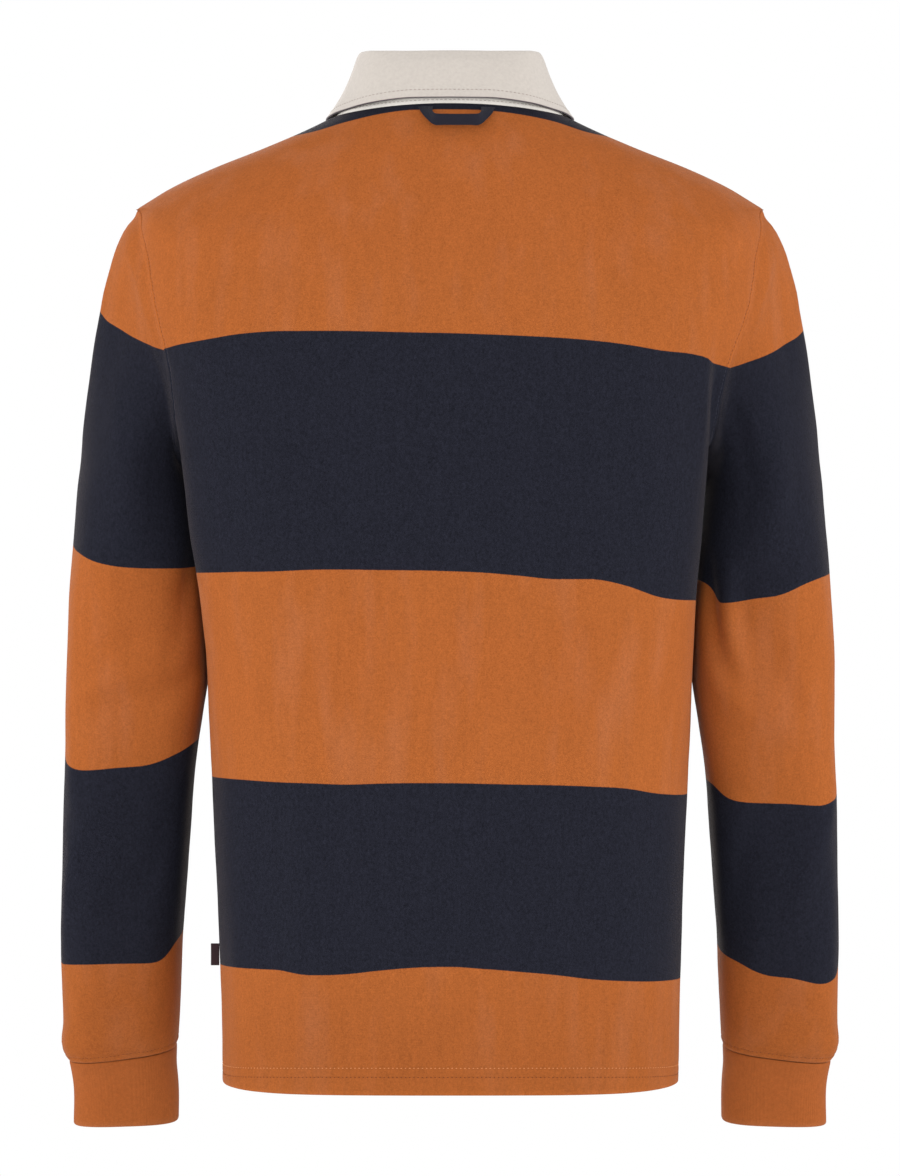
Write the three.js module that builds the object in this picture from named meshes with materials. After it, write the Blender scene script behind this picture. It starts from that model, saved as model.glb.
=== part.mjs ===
// A long-sleeved striped jersey shirt with a turned-down collar, filled out as if worn.
// Millimetres, +Z up. The origin is the middle of the neck at shoulder height, the front faces -Y
// and the wearer's left is +X. Every piece of cloth is a closed wall between an outer and an inner
// surface, and the pieces stand a small gap apart where they are sewn together.
import * as THREE from "three";

const DEGREES = Math.PI / 180;

/** Rows of numbers under named columns. */
function table(names, rows) {
  const keys = names.split(" ");
  return rows.map((row) => Object.fromEntries(keys.map((key, i) => [key, row[i]])));
}

// Cloth sizes
const JERSEY_WALL = 1.6;
const HEM_WALL = 3;
const RIB_WALL = 2.2;
const TWILL_WALL = 1.5;
const SEAM_GAP = 0.48;
const MOST_SEAM_STRETCH = 1.8;
const MOST_CORNER_STRETCH = 2;
const HEM_DEPTH = 19;
const HEM_STEP = 3;

// Heights on the side line of the body, from the hem up to the neck
const HEM_HEIGHT = -706;
const UNDERARM_HEIGHT = -250;
const SHOULDER_TIP_HEIGHT = -67;
const NECK_HEIGHT = 0;

// How far the side tuck under the arm reaches towards the back
const TUCK_REACH = 34;

// The body, one row for each height on the side line. half is the side line's distance from the
// middle, the corners are how wide the back and the front spread away from it, ridge is its y, and
// back and front give the middle of each panel. The powers say how square each half is.
const BODY = table(
  "side half leftCorner rightCorner frontCorner ridge backY backZ frontY frontZ backPower frontPower",
  [
    [-706,   166,   166,   166,   166,  0, 117, -703, -113, -702, 2.6,  2.5],
    [-640, 166.5, 166.5, 166.5, 166.5,  0, 117, -638, -114, -637, 2.6,  2.5],
    [-560,   170,   170,   170,   170,  0, 116, -559, -115, -558, 2.6,  2.5],
    [-480, 173.5, 173.5, 173.5, 173.5,  0, 116, -480, -117, -479, 2.6,  2.5],
    [-408,   176,   178,   178,   176,  0, 119, -408, -121, -408, 2.7,  2.4],
    [-350,   174,   187,   183,   174,  0, 124, -350, -126, -350, 2.8,  2.4],
    [-300,   173,   195,   188,   173,  0, 128, -300, -131, -300, 2.9,  2.3],
    [-250,   168,   201,   193,   168,  0, 130, -252, -134, -252,   3,  2.3],
    [-215,   188,   206,   200,   189, -1, 130, -222, -133, -230,   3,  2.4],
    [-180,   208,   213,   211,   209, -2, 129, -191, -131, -209,   3,  2.5],
    [-140,   223,   223,   226,   220, -3, 126, -158, -128, -187, 2.9,  2.5],
    [-100,   229,   226,   229,   222, -4, 121, -126, -124, -166, 2.7,  2.5],
    [ -67,   229,   216,   218,   211, -4, 114,  -97, -120, -150, 2.6,  2.4],
    [ -53,   207,   196,   197,   192, -1, 108,  -78, -114, -138, 2.5,  2.4],
    [ -38,   176,   168,   168,   166,  2,  99,  -55, -106, -122, 2.4,  2.3],
    [ -23,   139,   136,   136,   135,  6,  88,  -30,  -96, -103, 2.3,  2.2],
    [  -9,   105,   104,   104,   104, 10,  75,   -8,  -84,  -85, 2.2,  2.1],
    [   0,    83,    83,    83,    83, 12,  66,    4,  -75,  -73, 2.1, 2.05],
  ],
);

// How far the armhole seam swings in from the side line, in degrees round the body
const BACK_ARMHOLE_SWING = 21;
const FRONT_ARMHOLE_SWING = 27;

// The sleeve below the cap, one row for each height of its middle line. outer and inner are the two
// edges as seen from behind, middle is the y of its centre, and the leans tip each ring.
const SLEEVE = table(
  "height outer inner middle back front forwardLean sideLean",
  [
    [-272,   272,   184, -14, 64, 74,  8,   0],
    [-340,   277,   181, -15, 59, 66, 11,  -2],
    [-410,   280,   180, -19, 55, 58, 13,  -4],
    [-470,   281,   187, -26, 50, 51, 15,  -6],
    [-540, 281.8,   191, -40, 46, 46, 17,  -9],
    [-610, 282.5,   195, -59, 43, 43, 17, -10],
    [-655, 282.4,   197, -73, 41, 41, 14,  -9],
    [-678, 281.8, 198.2, -79, 40, 40,  9,  -7],
    [-687, 277.4, 199.2, -82, 36, 36,  8,  -7],
  ],
);

// How the sleeve leaves the armhole: straight under the arm, its droop elsewhere, and its fullness
const UNDERARM_DIRECTION = { x: 0.75, y: 0, z: -0.66 };
const CAP_DROOP = 0.8;
const CAP_START = 0.75;
const CAP_END = 0.9;
const UNDERARM_SHARE = 0.4;

// The ribbed cuff below the sleeve
const CUFF = table(
  "height outer inner middle back front forwardLean sideLean",
  [
    [-687.5, 277.2, 199.4, -82.2, 35.8, 35.8, 8, -7],
    [  -700, 275.6, 198.8,   -86,   33,   33, 7, -5],
    [  -718,   275,   198,   -91,   32,   32, 6, -3],
    [  -736,   275, 197.8,   -95, 31.5, 31.5, 5, -2],
  ],
);

// The collar, one row for each turn from the centre back. fold is the roll along its top, and edge
// is the lower edge of the outer leaf.
const COLLAR = table(
  "turn foldX foldY foldZ edgeX edgeY edgeZ",
  [
    [  0,   0,  50,   44,  0,   74,  9.5],
    [ 45,  46,  36,   44, 57,   60,    7],
    [ 90,  62,  -2,   37, 88,   16,    3],
    [112,  59, -27, 23.5, 90,  -14,   -4],
    [135,  44, -44,    4, 84,  -46,  -29],
    [166,  14, -61,  -38, 57,  -94,  -82],
    [180, 1.2, -63,  -45, 40, -103, -103],
  ],
);

// Collar, stand and roll
const STAND_ROWS = 3;
const STAND_BOW = -1;
const ROLL_GAP = 0.5;
const COLLAR_END_GAP = 1.2;
const FALL_PROFILE = table(
  "out up along bow",
  [
    [-1.6,    0,    0,   0],
    [ 0.6,  0.2,    0,   0],
    [ 2.6, -0.8,    0,   0],
    [   4, -2.6, 0.02,   0],
    [ 4.5, -3.2, 0.24, 1.4],
    [ 4.5, -3.2,  0.5, 1.8],
    [ 4.5, -3.2, 0.76, 1.2],
    [ 4.5, -3.2,    1,   0],
  ],
);

// The strip and buttons down the front
const PLACKET_WIDTH = 34;
const PLACKET_HIGH_SIDE = -1.5;
const PLACKET_LOW_SIDE = -262;
const PLACKET_LIFT = 0.8;
const PLACKET_ROWS = 16;
const PLACKET_COLUMNS = 4;
const BUTTON_SIDES = [-22, -128, -205];
const BUTTON_LIFT = 0.5;
const BUTTON_SEGMENTS = 24;
const BUTTON_PROFILE = [
  { radius: 0, height: 0 },
  { radius: 6.4, height: 0 },
  { radius: 7.4, height: 1.1 },
  { radius: 7.4, height: 2.6 },
  { radius: 6.2, height: 3.3 },
  { radius: 5, height: 2.7 },
  { radius: 0, height: 2.4 },
];

// The hanging loop: half of it, from the end in the neck seam to the middle
const TAPE_WALL = 1.1;
const LOOP_CENTRE = -4.3;
const LOOP = table(
  "upperX upperZ upperLift lowerX lowerZ lowerLift",
  [
    [  16,  1.6, -0.5, 25.5,   1.6, -0.5],
    [  16,  0.3,  3.5, 23.8,    -3, 2.5],
    [15.2, -0.8,    8, 20.4,  -8.2, 5.5],
    [11.5,   -2, 12.5, 16.4, -11.4, 8.2],
    [   6, -2.2, 14.6,  8.5, -11.7, 9.4],
    [   0, -2.3,   15,    0, -11.8, 9.7],
  ],
);

// The folded tape in the left side seam
const TAB = { x: 171.5, y: 0, z: -610.5, width: 6.2, thickness: 1.6, height: 16 };

const COLOURS = {
  rust: 0xb96635,
  cuff: 0xa75b2f,
  cream: 0xd7cec6,
  navy: 0x282933,
  rubber: 0xd2cbc2,
  tab: 0x3f2d30,
};

/** Reads one column of a table between its rows, along a smooth curve. */
function read(rows, by, column, at) {
  const last = rows.length - 1;
  const rising = rows[last][by] > rows[0][by];
  let i = 0;
  while (i < last - 1 && (rising ? at > rows[i + 1][by] : at < rows[i + 1][by])) i += 1;
  const slope = (a, b) => (rows[b][column] - rows[a][column]) / (rows[b][by] - rows[a][by]);
  const tangent = (k) => {
    if (k === 0) return slope(0, 1);
    if (k === last) return slope(last - 1, last);
    const before = slope(k - 1, k);
    const after = slope(k, k + 1);
    if (before * after <= 0) return 0;
    const share = (rows[k][by] - rows[k - 1][by]) / (rows[k + 1][by] - rows[k - 1][by]);
    return before * (1 - share) + after * share;
  };
  const span = rows[i + 1][by] - rows[i][by];
  const t = THREE.MathUtils.clamp((at - rows[i][by]) / span, 0, 1);
  const [p, q] = [rows[i][column], rows[i + 1][column]];
  const [m, n] = [tangent(i) * span, tangent(i + 1) * span];
  return (2 * p - 2 * q + m + n) * t ** 3 + (3 * q - 3 * p - 2 * m - n) * t ** 2 + m * t + p;
}

/** A power that keeps its sign. */
const signedPower = (value, power) => Math.sign(value) * Math.abs(value) ** power;

/** Which column of the body's table says how wide it spreads away from the side line. */
function cornerName(across, isBack) {
  if (!isBack) return "frontCorner";
  return across >= 0 ? "leftCorner" : "rightCorner";
}

/** The body's outer surface at a height on the side line and a turn in degrees from the centre back. */
function bodyPoint(side, turn) {
  const column = (name) => read(BODY, "side", name, side);
  const sine = Math.sin(turn * DEGREES);
  const cosine = Math.cos(turn * DEGREES);
  const isBack = cosine >= 0;
  const power = 2 / column(isBack ? "backPower" : "frontPower");
  const ridge = column("ridge");
  const half = column("half");
  const depth = column(isBack ? "backY" : "frontY") - ridge;
  const across = depth * Math.abs(cosine) ** power;
  const corner = column(cornerName(sine, isBack));
  const tuck = (corner - half) * Math.exp(-((across / TUCK_REACH) ** 2));
  const x = signedPower(sine, power) * corner - Math.sign(sine) * tuck;
  const z = side * sine ** 2 + column(isBack ? "backZ" : "frontZ") * cosine ** 2;
  return new THREE.Vector3(x, ridge + across, z);
}

/** How far up the armhole a row ends: a little wider apart near the underarm and the shoulder tip. */
function armholeRise(row) {
  const even = row / ARMHOLE_ROWS;
  return even + ARMHOLE_WIDENING * (even - (1 - Math.cos(Math.PI * even)) / 2);
}

/** A point on the armhole seam; rise goes from 0 under the arm to 1 at the shoulder tip. */
function armhole(rise, isBack) {
  const climb = (1 - Math.cos(Math.PI * rise)) / 2;
  const side = THREE.MathUtils.lerp(UNDERARM_HEIGHT, SHOULDER_TIP_HEIGHT, climb);
  const swing = (isBack ? BACK_ARMHOLE_SWING : FRONT_ARMHOLE_SWING) * Math.sin(Math.PI * rise);
  return { side, turn: isBack ? 90 - swing : 90 + swing };
}

/** Points at given shares of the length of a curve, which is a function of 0 to 1. */
function spread(curve, shares) {
  const dense = Array.from({ length: CURVE_STEPS + 1 }, (_, i) => curve(i / CURVE_STEPS));
  const along = [0];
  for (let i = 1; i <= CURVE_STEPS; i += 1) {
    along.push(along[i - 1] + dense[i].distanceTo(dense[i - 1]));
  }
  return shares.map((share) => {
    const target = share * along[CURVE_STEPS];
    let i = 1;
    while (i < CURVE_STEPS && along[i] < target) i += 1;
    const t = (target - along[i - 1]) / (along[i] - along[i - 1]);
    return dense[i - 1].clone().lerp(dense[i], t);
  });
}

// How many rows and columns each grid has
const PANEL_HALF_COLUMNS = 12;
const ARMHOLE_ROWS = 12;
const SHOULDER_ROWS = 5;
const TORSO_SIDES = [
  HEM_HEIGHT, HEM_HEIGHT + HEM_DEPTH, HEM_HEIGHT + HEM_DEPTH + HEM_STEP,
  -640, -590, -540, -490, -450, -415, -385, -355, -330, -305, -278,
];
const ARMHOLE_WIDENING = 0.15;
const CAP_ROWS = 6;
const SLEEVE_HEIGHTS = [-272, -305, -340, -375, -410, -450, -490, -530, -570, -610, -645, -678, -687];
const EDGE_CROWDING = 1.45;
const CURVE_STEPS = 160;

/** Shares from the middle of a panel to its edge, closer together towards the edge. */
const halfShares = Array.from(
  { length: PANEL_HALF_COLUMNS + 1 },
  (_, i) => 1 - (1 - i / PANEL_HALF_COLUMNS) ** EDGE_CROWDING,
);

/** The rows of a panel: its level in the middle, and the level and turn at which it ends. */
function panelRows(isBack) {
  const straight = TORSO_SIDES.map((side) => ({ middle: side, side, turn: 90 }));
  const armholeRows = Array.from({ length: ARMHOLE_ROWS + 1 }, (_, i) => {
    const middle = THREE.MathUtils.lerp(UNDERARM_HEIGHT, SHOULDER_TIP_HEIGHT, i / ARMHOLE_ROWS);
    return { middle, ...armhole(armholeRise(i), isBack) };
  });
  const shoulder = Array.from({ length: SHOULDER_ROWS }, (_, i) => {
    const side = THREE.MathUtils.lerp(SHOULDER_TIP_HEIGHT, NECK_HEIGHT, (i + 1) / SHOULDER_ROWS);
    return { middle: side, side, turn: 90 };
  });
  return [...straight, ...armholeRows, ...shoulder];
}

/** The outer points of the back or front panel, from the wearer's right to the left. */
function panelGrid(isBack) {
  return panelRows(isBack).map(({ middle, side, turn }) => {
    const half = (sign) => spread((t) => bodyPoint(
      THREE.MathUtils.lerp(middle, side, t * t),
      sign * THREE.MathUtils.lerp(isBack ? 0 : 180, turn, t),
    ), halfShares);
    return [...half(-1).slice(1).reverse(), ...half(1)];
  });
}

/** A ring of a sleeve or cuff at a height; angle 0 is the inner edge, 90 the back and 180 the outer. */
function ringPoint(shape, height, angle, side) {
  const column = (name) => read(shape, "height", name, height);
  const radius = (column("outer") - column("inner")) / 2;
  const centre = (column("outer") + column("inner")) / 2;
  const across = -Math.cos(angle * DEGREES) * radius;
  const sine = Math.sin(angle * DEGREES);
  const along = sine * column(sine >= 0 ? "back" : "front");
  const z = height - along * Math.tan(column("forwardLean") * DEGREES)
    + across * Math.tan(column("sideLean") * DEGREES);
  return new THREE.Vector3(side * (centre + across), column("middle") + along, z);
}

/** Normals of a grid of points, pointing to the side given by sign; wraps round if it is closed. */
function gridNormals(grid, closed, sign) {
  const rows = grid.length;
  const columns = grid[0].length;
  return grid.map((row, j) => row.map((_, i) => {
    const left = closed ? (i - 1 + columns) % columns : Math.max(i - 1, 0);
    const right = closed ? (i + 1) % columns : Math.min(i + 1, columns - 1);
    const below = Math.max(j - 1, 0);
    const above = Math.min(j + 1, rows - 1);
    const across = row[right].clone().sub(row[left]);
    const up = grid[above][i].clone().sub(grid[below][i]);
    return across.cross(up).normalize().multiplyScalar(sign);
  }));
}

/** The direction halfway between unit vectors. */
const between = (...vectors) => vectors.reduce((sum, v) => sum.add(v), new THREE.Vector3()).normalize();

/** Evens out the directions along a seam line. */
function even(directions, closed) {
  const last = directions.length - 1;
  return directions.map((direction, i) => {
    const before = directions[closed ? (i + last) % directions.length : Math.max(i - 1, 0)];
    const after = directions[closed ? (i + 1) % directions.length : Math.min(i + 1, last)];
    return between(before, direction, direction, after);
  });
}

/** How far each point of a seam line moves into its piece, so that two pieces stand apart. */
function pullBack(points, normals, inwards, closed) {
  const last = points.length - 1;
  return points.map((point, i) => {
    const before = points[closed ? (i + last) % points.length : Math.max(i - 1, 0)];
    const after = points[closed ? (i + 1) % points.length : Math.min(i + 1, last)];
    const squares = [[before, point], [point, after]]
      .filter(([a, b]) => a.distanceTo(b) > 0)
      .map(([a, b]) => {
        const square = b.clone().sub(a).cross(normals[i]).normalize();
        return square.dot(inwards[i]) < 0 ? square.negate() : square;
      });
    const middle = between(...squares);
    const share = Math.max(1 / MOST_CORNER_STRETCH, middle.dot(squares[0]));
    return middle.multiplyScalar(SEAM_GAP / 2 / share);
  });
}

/** The inner surface of a wall: each point moved in along its normal by the wall of its row. */
const innerGrid = (grid, normals, wall) =>
  grid.map((row, j) => row.map((p, i) => p.clone().addScaledVector(normals[j][i], -wall(j))));

/** Sets one edge point of a wall on a seam, with both corners on the seam's shared direction. */
function sew(piece, j, i, shared, shift) {
  const length = piece.wall(j) / Math.max(1 / MOST_SEAM_STRETCH, shared.dot(piece.normals[j][i]));
  const base = piece.moved[j][i] ? piece.outer[j][i] : piece.points[j][i].clone();
  piece.outer[j][i] = base.add(shift);
  piece.inner[j][i] = piece.outer[j][i].clone().addScaledVector(shared, -length);
  piece.moved[j][i] = true;
}

/** A piece of cloth: its grid of points, normals, wall by row and the two surfaces. */
function cloth(points, closed, sign, wall) {
  const normals = gridNormals(points, closed, sign);
  return {
    points, normals, wall, closed,
    outer: points.map((row) => row.map((p) => p.clone())),
    inner: innerGrid(points, normals, wall),
    moved: points.map((row) => row.map(() => false)),
  };
}

/** The cap of a sleeve from the armhole points, one curve for each column, then the rings below. */
function sleeveGrid(armholePoints, side) {
  const columns = armholePoints.length;
  const top = SLEEVE[0].height;
  const down = new THREE.Vector3(0, 0, -1);
  const under = new THREE.Vector3(side * UNDERARM_DIRECTION.x, UNDERARM_DIRECTION.y, UNDERARM_DIRECTION.z);
  const curves = armholePoints.map(({ point, away, rise }, k) => {
    const angle = (k / columns) * 360;
    const end = ringPoint(SLEEVE, top, angle, side);
    const heading = ringPoint(SLEEVE, top - 1, angle, side).sub(end).normalize();
    const weight = THREE.MathUtils.smoothstep(rise, 0, UNDERARM_SHARE);
    const start = away.clone().multiplyScalar(weight)
      .addScaledVector(under, 1 - weight)
      .addScaledVector(down, CAP_DROOP * weight)
      .normalize();
    const reach = end.distanceTo(point);
    start.multiplyScalar(reach * CAP_START);
    heading.multiplyScalar(reach * CAP_END);
    return { point, end, start, heading };
  });
  const cap = Array.from({ length: CAP_ROWS }, (_, j) => {
    const t = j / CAP_ROWS;
    return curves.map(({ point, end, start, heading }) => point.clone()
      .multiplyScalar(2 * t ** 3 - 3 * t ** 2 + 1)
      .addScaledVector(start, t ** 3 - 2 * t ** 2 + t)
      .addScaledVector(end, -2 * t ** 3 + 3 * t ** 2)
      .addScaledVector(heading, t ** 3 - t ** 2));
  });
  return [...cap, ...rings(SLEEVE, SLEEVE_HEIGHTS, side)];
}

/** Whole rings of a sleeve or cuff, one for each height. */
const rings = (shape, heights, side) => heights.map((height) =>
  Array.from({ length: 2 * ARMHOLE_ROWS }, (_, k) =>
    ringPoint(shape, height, (k / (2 * ARMHOLE_ROWS)) * 360, side)));

const UNDERARM_ROW = TORSO_SIDES.length;
const TIP_ROW = UNDERARM_ROW + ARMHOLE_ROWS;
const panelWall = (j) => (j < 2 ? HEM_WALL : JERSEY_WALL);
const edgeColumn = (piece, side) => (side > 0 ? piece.points[0].length - 1 : 0);
const edgePoints = (piece, side) => piece.points.map((row) => row[edgeColumn(piece, side)]);

/** From each edge point of a panel towards its inside. */
function edgeInwards(piece, side) {
  const column = edgeColumn(piece, side);
  return piece.points.map((row, j) =>
    piece.points[Math.max(j - 1, 0)][column - side * 2].clone().sub(row[column]));
}

/** The points of an armhole once round, from under the arm up the back and down the front. */
function armholeLoop(back, front, side) {
  const trail = (piece, j) => {
    const column = edgeColumn(piece, side);
    const point = piece.points[j][column];
    const along = piece.points[Math.min(j + 1, TIP_ROW)][column].clone()
      .sub(piece.points[Math.max(j - 1, UNDERARM_ROW)][column]);
    const away = along.cross(piece.normals[j][column]).normalize();
    const inwards = piece.points[j][column - side].clone().sub(point);
    if (away.dot(inwards) > 0) away.negate();
    return { point, away, rise: armholeRise(j - UNDERARM_ROW) };
  };
  const up = Array.from({ length: ARMHOLE_ROWS + 1 }, (_, k) => trail(back, UNDERARM_ROW + k));
  const downwards = Array.from({ length: ARMHOLE_ROWS - 1 }, (_, k) => trail(front, TIP_ROW - 1 - k));
  return [...up, ...downwards];
}

/** Sews the two panels and a sleeve together on one side of the body. */
function sewSide(back, front, sleeve, side) {
  const rows = back.points.length;
  const normalOf = (piece, j) => piece.normals[j][edgeColumn(piece, side)];
  const loop = 2 * ARMHOLE_ROWS;
  const sleeveShared = [];
  const shared = { back: [], front: [] };
  for (let j = 0; j < rows; j += 1) {
    const both = between(normalOf(back, j), normalOf(front, j));
    const k = j - UNDERARM_ROW;
    if (k < 0 || k > ARMHOLE_ROWS) {
      shared.back.push(both);
      shared.front.push(both);
    } else if (k === 0 || k === ARMHOLE_ROWS) {
      const all = between(both, sleeve.normals[0][k]);
      shared.back.push(all);
      shared.front.push(all);
      sleeveShared[k] = all;
    } else {
      shared.back.push(between(normalOf(back, j), sleeve.normals[0][k]));
      shared.front.push(between(normalOf(front, j), sleeve.normals[0][loop - k]));
      sleeveShared[k] = shared.back[j];
      sleeveShared[loop - k] = shared.front[j];
    }
  }
  const around = even(even(sleeveShared, true), true);
  around.forEach((direction, k) => {
    if (k <= ARMHOLE_ROWS) shared.back[UNDERARM_ROW + k] = direction;
    if (k === 0 || k >= ARMHOLE_ROWS) shared.front[UNDERARM_ROW + (k === 0 ? 0 : loop - k)] = direction;
  });
  for (const [piece, directions] of [[back, shared.back], [front, shared.front]]) {
    const shifts = pullBack(edgePoints(piece, side), directions, edgeInwards(piece, side), false);
    shifts.forEach((shift, j) => sew(piece, j, edgeColumn(piece, side), directions[j], shift));
  }
  const inwards = sleeve.points[1].map((p, k) => p.clone().sub(sleeve.points[0][k]));
  pullBack(sleeve.points[0], around, inwards, true)
    .forEach((shift, k) => sew(sleeve, 0, k, around[k], shift));
}

/** The neck seam once round from the centre front over the left shoulder, the back and the right. */
function neckline(back, front) {
  const top = back.points.length - 1;
  const middle = PANEL_HALF_COLUMNS;
  const ends = 2 * PANEL_HALF_COLUMNS;
  const spots = [];
  for (let i = middle; i < ends; i += 1) spots.push({ piece: front, i });
  for (let i = ends; i >= 0; i -= 1) spots.push({ piece: back, i });
  for (let i = 1; i <= middle; i += 1) spots.push({ piece: front, i });
  return spots.map((spot) => ({ ...spot, j: top, point: spot.piece.points[top][spot.i] }));
}

/** The turn from the centre back of a point on the neckline, the same on both sides. */
function turnOf(point, isFrontCentre) {
  if (isFrontCentre) return 180;
  const neck = BODY[BODY.length - 1];
  const isBack = point.y >= neck.ridge;
  const power = (isBack ? neck.backPower : neck.frontPower) / 2;
  const depth = (isBack ? neck.backY : neck.frontY) - neck.ridge;
  const sine = Math.abs(point.x / neck.half) ** power;
  const cosine = Math.abs((point.y - neck.ridge) / depth) ** power;
  return Math.atan2(sine, isBack ? cosine : -cosine) / DEGREES;
}

/** The roll line and outer edge of the collar for every point of the neckline. */
function collarStations(spots) {
  const last = spots.length - 1;
  const stations = spots.map(({ point }, k) => {
    const isEnd = k === 0 || k === last;
    const side = Math.sign(last / 2 - k);
    const turn = turnOf(point, isEnd);
    const column = (name) => read(COLLAR, "turn", name, turn);
    return {
      base: isEnd ? point.clone().setX(side * COLLAR_END_GAP) : point,
      fold: new THREE.Vector3(side * column("foldX"), column("foldY"), column("foldZ")),
      edge: new THREE.Vector3(side * column("edgeX"), column("edgeY"), column("edgeZ")),
    };
  });
  const squareTo = (vector, ...others) => others
    .reduce((v, other) => v.addScaledVector(other, -v.dot(other)), vector).normalize();
  return stations.map(({ base, fold, edge }, k) => {
    const along = stations[Math.min(k + 1, last)].fold.clone()
      .sub(stations[Math.max(k - 1, 0)].fold).normalize();
    const rise = squareTo(fold.clone().sub(base), along);
    const away = squareTo(edge.clone().sub(fold), along, rise);
    return { base, fold, edge, rise, away };
  });
}

/** The stand of the collar, from the neckline up to just under the roll. */
function standGrid(stations) {
  return Array.from({ length: STAND_ROWS + 1 }, (_, j) => stations.map(({ base, fold, rise, away }) => {
    const top = fold.clone().addScaledVector(rise, -TWILL_WALL - ROLL_GAP);
    const t = j / STAND_ROWS;
    return base.clone().lerp(top, t).addScaledVector(away, Math.sin(Math.PI * t) * STAND_BOW);
  }));
}

/** The outer leaf of the collar, over the roll and down to its edge. */
function fallGrid(stations) {
  return FALL_PROFILE.map(({ out, up, along, bow }) => stations.map(({ fold, edge, rise, away }) =>
    fold.clone()
      .addScaledVector(away, out)
      .addScaledVector(rise, up)
      .lerp(edge, along)
      .addScaledVector(away, bow)
      .addScaledVector(rise, bow)));
}

/** A point of the front or back surface at a distance across, on the level of a side height. */
function panelPoint(side, x, isBack) {
  const column = (name) => read(BODY, "side", name, side);
  const width = column(cornerName(x, isBack));
  const sine = Math.abs(x / width) ** (column(isBack ? "backPower" : "frontPower") / 2);
  const turn = Math.asin(sine) / DEGREES;
  return bodyPoint(side, Math.sign(x) * (isBack ? turn : 180 - turn) || (isBack ? 0 : 180));
}

/** The direction straight out of the front surface near a point. */
function frontNormal(side, x) {
  const across = panelPoint(side, x + 2, false).sub(panelPoint(side, x - 2, false));
  const up = panelPoint(side + 2, x, false).sub(panelPoint(side - 2, x, false));
  return across.cross(up).normalize();
}

/** The strip down the front, laid on the front panel. */
function placketGrid() {
  return Array.from({ length: PLACKET_ROWS + 1 }, (_, j) => {
    const side = THREE.MathUtils.lerp(PLACKET_LOW_SIDE, PLACKET_HIGH_SIDE, j / PLACKET_ROWS);
    return Array.from({ length: PLACKET_COLUMNS + 1 }, (_, i) => {
      const x = PLACKET_WIDTH * (i / PLACKET_COLUMNS - 0.5);
      return panelPoint(side, x, false)
        .addScaledVector(frontNormal(side, x), PLACKET_LIFT + TWILL_WALL);
    });
  });
}

/** A round button with a raised rim, facing out from the front strip. */
function buttonGeometry(side) {
  const profile = BUTTON_PROFILE.map(({ radius, height }) => new THREE.Vector2(radius, height));
  const geometry = new THREE.LatheGeometry(profile, BUTTON_SEGMENTS);
  const normal = frontNormal(side, 0);
  const rest = panelPoint(side, 0, false)
    .addScaledVector(normal, PLACKET_LIFT + TWILL_WALL + BUTTON_LIFT);
  geometry.applyQuaternion(new THREE.Quaternion().setFromUnitVectors(new THREE.Vector3(0, 1, 0), normal));
  geometry.translate(rest.x, rest.y, rest.z);
  return closedGeometry(geometry);
}

/** The same faces with shared corners and without the empty ones at the poles. */
function closedGeometry(geometry) {
  const source = geometry.getAttribute("position");
  const positions = [];
  const seen = new Map();
  const number = (k) => {
    const point = [source.getX(k), source.getY(k), source.getZ(k)];
    const key = point.map((value) => value.toFixed(3)).join(" ");
    if (!seen.has(key)) {
      seen.set(key, positions.length / 3);
      positions.push(...point);
    }
    return seen.get(key);
  };
  const index = [];
  for (let k = 0; k < geometry.index.count; k += 3) {
    const [a, b, c] = [0, 1, 2].map((n) => number(geometry.index.getX(k + n)));
    if (a !== b && b !== c && c !== a) index.push(a, b, c);
  }
  return orientOutwards(positions, index);
}

/** The hanging loop: a tape sewn in the neck seam at both ends, bowed off the back. */
function loopGrid() {
  const onBack = (x, z, lift) => {
    const point = panelPoint(read(BODY, "backZ", "side", z), x, true);
    return point.setY(point.y + lift + TAPE_WALL);
  };
  const stations = [
    ...LOOP.map((row) => ({ ...row, sign: 1 })),
    ...LOOP.slice(0, -1).reverse().map((row) => ({ ...row, sign: -1 })),
  ];
  return ["upper", "lower"].map((edge) => stations.map((row) =>
    onBack(LOOP_CENTRE + row.sign * row[`${edge}X`], row[`${edge}Z`], row[`${edge}Lift`])));
}

/** A named mesh in its own colour. */
function meshOf(name, geometry, colour, roughness) {
  const material = new THREE.MeshStandardMaterial({ color: colour, roughness, metalness: 0 });
  const mesh = new THREE.Mesh(geometry, material);
  mesh.name = name;
  return mesh;
}

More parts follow.
